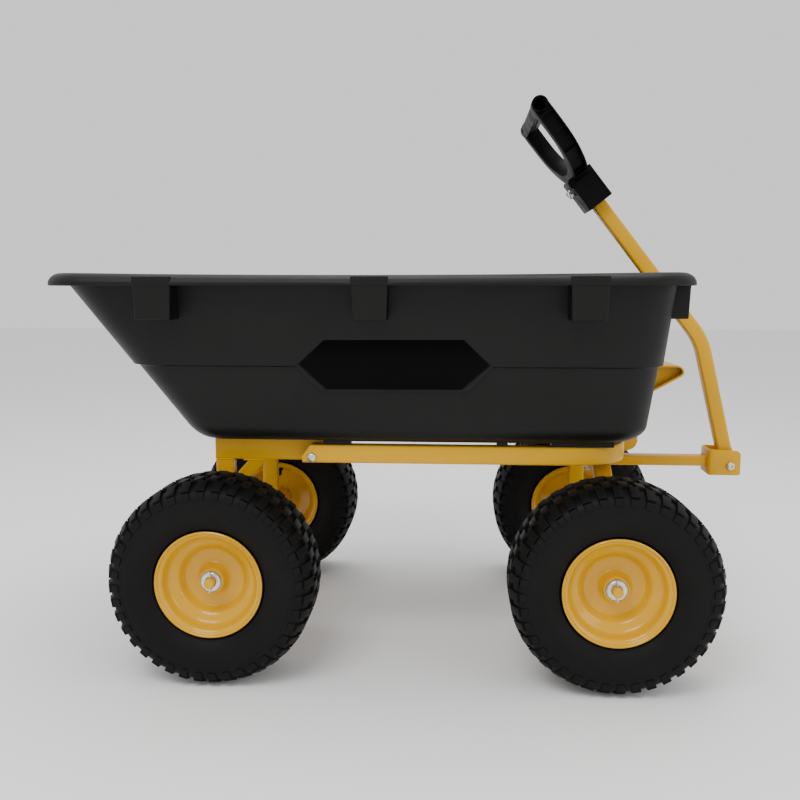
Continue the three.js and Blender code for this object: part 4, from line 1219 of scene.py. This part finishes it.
def build_grip(plastic, bar_plastic, zinc):
    yoke = shape(prism, symmetric(smooth_line(ARM_OUTSIDE, 4)), front_point, -14, 14)
    window = shape(prism, symmetric(smooth_line(ARM_INSIDE, 4)), front_point, -20, 20)
    socket = shape(prism, rounded_rectangle(47, 74, 3), top_point, 0, SOCKET)
    rear_flange = shape(block, (-23.8, -18), (-37.5, 37.5), (0, SOCKET - 20))
    block(rear_flange, (-25.6, -18), (-30, 30), (SOCKET - 16, SOCKET - 3))
    cavity = shape(prism, rounded_rectangle(25.6, 25.6, 3), top_point, -1, 58.3)
    half, bar_place = SPAN / 2, (0, 0, BAR_HEIGHT)
    sleeves, recesses = bmesh.new(), bmesh.new()
    for sign in (-1, 1):
        merged(sleeves, rod(14, *span(sign, 99, 124), 56, bar_place))
        block(recesses, (-15, 19), span(sign, 35.4, 40), (5, SOCKET - 12))
    tools = [
        (CUT, window),
        (JOIN, bevelled(socket, 1.5)),
        (JOIN, bevelled(rear_flange, 0.6)),
        (JOIN, sleeves),
        *arm_channel(1),
        *arm_channel(-1),
        (CUT, recesses),
        (CUT, cavity),
        (CUT, rod(PIN_HOLE, -40, 40, 32, PIN_PLACE, X_AXIS)),
        (CUT, rod(11.8, -half, half, 48, bar_place)),
    ]
    grip = combine(yoke, tools)
    bmesh.ops.recalc_face_normals(grip, faces=grip.faces)
    bmesh.ops.dissolve_limit(grip, angle_limit=0.01, verts=grip.verts, edges=grip.edges)
    soften(grip, 0.5, 45)
    make("grip_frame", leaned(grip), plastic, "pull_handle", ["grip"], sharp=40)

    tube = [(12.7, 26.5 - half), (12.7, half - 26.5), (11.6, half - 25.4), (11.6, half - 5)]
    tube += [(11.2, half - 4.4), (10.7, half - 4.4), (10.4, half - 5), (10.4, 5 - half)]
    tube += [(10.7, 4.4 - half), (11.2, 4.4 - half), (11.6, 5 - half), (11.6, 25.4 - half)]
    hand_bar = leaned(shape(lathe, tube, 56, bar_place))
    make("grip_bar", hand_bar, bar_plastic, "pull_handle", ["grip"])

    outline = [(0, -33.15), (3, -33.15), (4, -31.9), (4, 24), (6.2, 24)]
    outline += [(6.5, 24.4), (6.5, 26.6), (6, 27), (0, 27)]
    pin = leaned(shape(lathe, outline, 40, PIN_PLACE, X_AXIS))
    make("pin_through_socket", pin, zinc, "pull_handle", ["clevis_pin"])
    bends = [(-23, 40), (14, 40), (20, 41.5), (23, 45.5), (20, 49.5), (14, 50.6)]
    bends += [(4, 47), (-3, 44.6), (-10, 46.6), (-21, 50)]
    route = bent_route([(-30.35, y, z) for y, z in bends], 2.6, 4)
    clip = leaned(shape(sweep, circle(1.05, 12), route, X_AXIS))
    make("hitch_clip", clip, zinc, "pull_handle", ["r_clip"])


def build_handle(material, zinc):
    x, z = HANDLE_PIVOT
    reach = SOCKET - 8
    foot = (x + 15 * math.sin(HANDLE_LEAN), 0, z - 15 * math.cos(HANDLE_LEAN))
    top_x, _, top_z = GRIP_PLACE
    head = (top_x - reach * math.sin(GRIP_LEAN), 0, top_z + reach * math.cos(GRIP_LEAN))
    tube = shape(square_tube, 25, 25, bent_route([foot, HANDLE_BEND, head], 120, 12), Y_AXIS, 4)
    pin_hole = leaned(rod(PIN_HOLE, -30, 30, 32, PIN_PLACE, X_AXIS))
    tools = [(CUT, hole_y(BOLT_HOLE, x, z, -20, 20)), (CUT, pin_hole)]
    make("handle_bent_tube", combine(tube, tools), material, "pull_handle", ["handle_tube"])

    names = "handle_bolt", "handle_pivot_bolt", "steering"
    button_bolt(*names, zinc, (x, -CLEVIS_HALF - 0.3, z), (0, -1, 0), PIVOT_BOLT, 66)
    names = "handle_lock_nut", "handle_pivot_nut", "steering"
    hex_nut(*names, zinc, (x, CLEVIS_HALF + 0.3, z), (0, 1, 0), PIVOT_BOLT, 10.5)


# ------------------------------------------------------------------ release latch
LEVER_PIVOT = (392, 462)
POST_REAR, POST_FRONT, POST_LOW, POST_TOP, FOOT_TOP = 371, 397, 332, 478, 371
POST_INSIDE, POST_OUTSIDE = 24, 27


def build_latch(paint, zinc):
    x, z = LEVER_PIVOT
    foot, inside = 354.3, (-POST_INSIDE, POST_INSIDE)
    outline = [(foot, POST_LOW), (POST_FRONT - 17, POST_LOW), (POST_FRONT - 9, POST_LOW + 3)]
    outline += [(POST_FRONT - 3, POST_LOW + 8), (POST_FRONT, POST_LOW + 16), (POST_FRONT, z - 16)]
    outline += [(POST_FRONT + 2, z - 11), (POST_FRONT + 5.4, z - 6), (POST_FRONT + 6, z)]
    outline += [(POST_FRONT + 5, z + 8), (POST_FRONT + 1, z + 13.5), (POST_FRONT - 4, POST_TOP)]
    outline += [(POST_REAR + 9, POST_TOP), (POST_REAR + 3, POST_TOP - 4), (POST_REAR, z + 4)]
    outline += [(POST_REAR, FOOT_TOP + 6), (POST_REAR - 2, FOOT_TOP + 1.5)]
    outline += [(POST_REAR - 6, FOOT_TOP), (foot, FOOT_TOP)]
    tools = [
        (CUT, shape(block, (foot + 3, POST_FRONT - 3), inside, (POST_LOW - 5, FOOT_TOP - 3))),
        (CUT, shape(block, (foot - 3, POST_FRONT - 3), inside, (FOOT_TOP - 4, z - 21))),
        (CUT, shape(block, (foot - 3, POST_FRONT + 20), inside, (z - 22, POST_TOP + 5))),
        (CUT, hole_y(PIN_HOLE, x, z, -40, 40)),
    ]
    post = combine(shape(prism, outline, side_point, -POST_OUTSIDE, POST_OUTSIDE), tools)
    seams = []
    for y in (-POST_OUTSIDE, POST_OUTSIDE):
        seams.append([(foot + 0.4, y, POST_LOW + 8), (foot + 0.4, y, FOOT_TOP - 3)])
    welded = with_beads(bevelled(post, 0.5, 50), seams, 1.4)
    make("latch_bracket", welded, paint, "front_frame", ["latch_post"])

    outline = [(362.8, z - 56), (365.8, z - 56), (365.8, z - 23.5), (367.3, z - 22)]
    outline += [(377.4, z - 22), (378.5, z - 21), (378.5, z - 19.6), (377.9, z - 19)]
    outline += [(364.6, z - 19), (362.8, z - 20.8)]
    plate = bevelled(shape(prism, outline, side_point, -19, 19), 0.5, 50)
    rivet = [(0, -0.5), (5, -0.5), (4.6, 1.4), (3, 2.2), (0, 2.5)]
    for y in (-11, 11):
        lathe(plate, rivet, 28, (365.8, y, z - 42), X_AXIS)
    make("catch_plate", plate, paint, "dump_bed", ["tray_catch"])

    outline = [(0, -30.3), (6.4, -30.3), (7, -29.7), (7, -27.9), (6.6, -27.3)]
    outline += [(4, -27.3), (4, 39), (3.2, 40), (0, 40)]
    make("latch_axis", shape(lathe, outline, 36, (x, 0, z)), zinc, "front_frame", ["latch_pin"])

    turns, steps, radius = 3, 24, 6
    points = []
    for i in range(turns * steps + 1):
        angle = 2 * math.pi * i / steps
        y = POST_OUTSIDE + 2 + 9 * i / (turns * steps)
        points.append((x + radius * math.cos(angle), y, z + radius * math.sin(angle)))
    tail = (points[-1][0] + 1, points[-1][1] + 0.2, points[-1][2] - 9)
    make("torsion_spring", shape(coil, [*points, tail], 0.8), zinc, "front_frame", ["latch_spring"])

    hook = [(380.5, z - 16), (384, z - 18), (392, z - 13), (400, z - 6), (405, z + 6)]
    hook += [(411, z + 24.5), (411, z + 27.5), (406, z + 27.5), (400, z + 17), (394, z + 9)]
    hook += [(388, z + 6), (384, z + 4), (381.4, z - 1), (380.5, z - 6)]
    paddle = [(408, 489.5), (458, 489.5), (463, 488), (467, 484.5), (469.5, 478), (468, 473.5)]
    paddle += [(464, 469.8), (417, 444), (415, 447), (460.5, 472), (464.6, 475), (466, 478)]
    paddle += [(464.2, 482.6), (461, 485.4), (457, 486.5), (408, 486.5)]
    web = [(409, 488), (457, 488), (463, 485), (467, 478), (463.6, 472.6), (416.5, 446), (409, 458)]
    webs = shape(prism, web, side_point, -38, -35)
    prism(webs, web, side_point, 35, 38)
    tools = [
        (JOIN, bevelled(shape(prism, hook, side_point, -20, 20), 0.8, 40)),
        (JOIN, webs),
        (JOIN, rod(9, -23, 23, 40, (x, 0, z))),
        (CUT, hole_y(PIN_HOLE, x, z, -60, 60)),
    ]
    lever = combine(bevelled(shape(prism, paddle, side_point, -55, 55), 0.8, 50, 3), tools)
    make("latch_lever", lever, paint, "release_lever", ["release_lever"])


# ------------------------------------------------------------------ the cart
make_camera()
make_stage()

paint = yellow_paint("yellow_powder_coat", 0.3, 0.42, 0.08)
rim_paint = yellow_paint("yellow_rim_enamel", 0.14, 0.24, 0.45)
poly = tray_poly()
gloss = gloss_panel()
grip_black = grip_plastic("grip_black_plastic", 0.0008, 0.0018)
bar_grey = grip_plastic("grip_bar_plastic", 0.005, 0.0085)
rubber = tyre_rubber()
zinc = zinc_plate()
steel = bearing_steel()
seal = seal_rubber()

build_tray(poly, gloss)
carriage_bolts(zinc)
build_rear_frame(paint)
build_front_frame(paint)
build_pivots(zinc)
build_steering(paint, zinc)
build_axles(paint, zinc)
build_wheels(rim_paint, rubber, steel, seal)
build_handle(paint, zinc)
build_grip(grip_black, bar_grey, zinc)
build_latch(paint, zinc)
